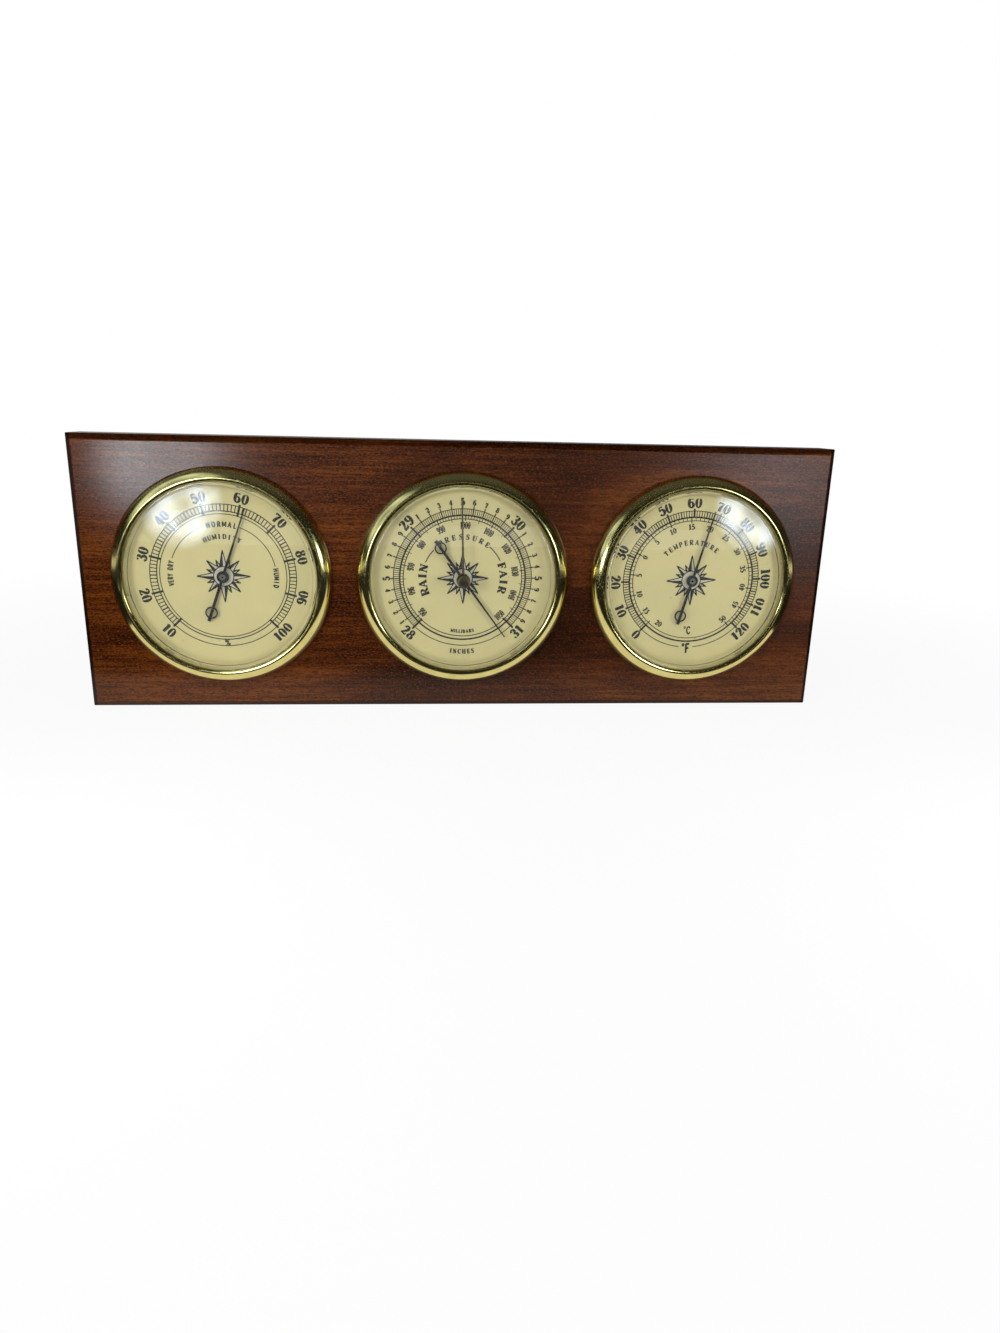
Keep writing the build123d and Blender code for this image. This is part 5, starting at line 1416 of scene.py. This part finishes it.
class ScrewOperator(bpy.types.Operator):
    """Makes the four cross head screws of the hanger plates"""
    bl_idname = "station.hanger_screws"
    bl_label = "Hanger screws"

    def execute(self, context):
        low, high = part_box("hanger_screws")
        source = bpy.data.meshes.new("screw")
        screw = self.screw((high.y - low.y) / MM)
        screw.to_mesh(source)
        screw.free()
        head = SCREW_HEAD * MM
        places = [(x, z) for x in (low.x + head, high.x - head) for z in (low.z + head, high.z - head)]
        shape = bmesh.new()
        for (x, z), turn in zip(places, SCREW_TURNS):
            mesh = source.copy()
            mesh.transform(Matrix.Translation((x, high.y, z)) @ Matrix.Rotation(-math.pi / 2, 4, "X")
                           @ Matrix.Rotation(turn, 4, "Z") @ Matrix.Scale(MM, 4))
            shape.from_mesh(mesh)
            bpy.data.meshes.remove(mesh)
        bpy.data.meshes.remove(source)
        piece(shape, "cross_head_screws", Matrix.Identity(4), ["steel"], "station",
              ["hanger_screws"])
        return {"FINISHED"}

    def screw(self, long):
        """One screw with its head up, in millimetres."""
        profile = [(0.0, 0.0), (SCREW_HEAD - HEAD_ROUND, 0.0), (SCREW_HEAD, -HEAD_EDGE),
                   (SCREW_SHANK, -HEAD_DEPTH), (SCREW_SHANK, -long + TIP_LENGTH), (TIP_RADIUS, -long),
                   (0.0, -long)]
        screw = spun(profile, closed=False, steps=48)
        for turn in (0.0, math.pi / 2):
            arm = bmesh.new()
            bmesh.ops.create_cube(arm, size=1.0, matrix=Matrix.Diagonal((*CROSS_ARM, 1.0)))
            for vert in arm.verts:
                if vert.co.z < 0.0:
                    vert.co.xy *= CROSS_TAPER
            arm.transform(Matrix.Rotation(turn, 4, "Z") @ Matrix.Translation((0.0, 0.0, CROSS_RISE)))
            screw = cut(screw, arm)
        return screw


class CarriedOperator(bpy.types.Operator):
    """Gives every carried-over CAD node the finish of its slot"""
    bl_idname = "station.carried_parts"
    bl_label = "Other parts"

    def execute(self, context):
        for name, node in frame["nodes"].items():
            if not node.material_slots:
                node.data.materials.append(None)
            for slot in node.material_slots:
                slot.material = finish("set_hand" if name == "barometer_set_hand" else SLOT_OF[name])
        return {"FINISHED"}


class StationPanel(bpy.types.Panel):
    """Lists the pieces of the weather station"""
    bl_idname = "STATION_PT_pieces"
    bl_label = "Weather station"
    bl_space_type = "VIEW_3D"
    bl_region_type = "UI"
    bl_category = "Weather station"

    def draw(self, context):
        """Lists the operators, then the settings."""
        for operator in OPERATORS:
            self.layout.operator(operator.bl_idname)
        for group in (getattr(context.scene, name) for name in GROUPS):
            box = self.layout.box()
            for name in group.bl_rna.properties.keys():
                if name not in {"rna_type", "name"}:
                    box.prop(group, name)


OPERATORS = (StageOperator, BoardOperator, BezelOperator, CrystalOperator, DialOperator, PrintOperator,
             HubOperator, KnobOperator, ScrewOperator, CarriedOperator)
GROUPS = {"station_sizes": StationSizes, "station_colours": StationColours, "station_stage": StationStage}


def register():
    """Registers the settings, the operators and the panel."""
    for group in GROUPS.values():
        bpy.utils.register_class(group)
    for name, group in GROUPS.items():
        setattr(bpy.types.Scene, name, PointerProperty(type=group))
    for item in (*OPERATORS, StationPanel):
        bpy.utils.register_class(item)


def unregister():
    """Takes back what register did."""
    for item in (StationPanel, *reversed(OPERATORS)):
        bpy.utils.unregister_class(item)
    for name in GROUPS:
        delattr(bpy.types.Scene, name)
    for group in reversed(GROUPS.values()):
        bpy.utils.unregister_class(group)


def main():
    """Builds every piece and the stage."""
    register()
    for operator in OPERATORS:
        family, name = operator.bl_idname.split(".")
        getattr(getattr(bpy.ops, family), name)()
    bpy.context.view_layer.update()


if __name__ == "__main__":
    main()
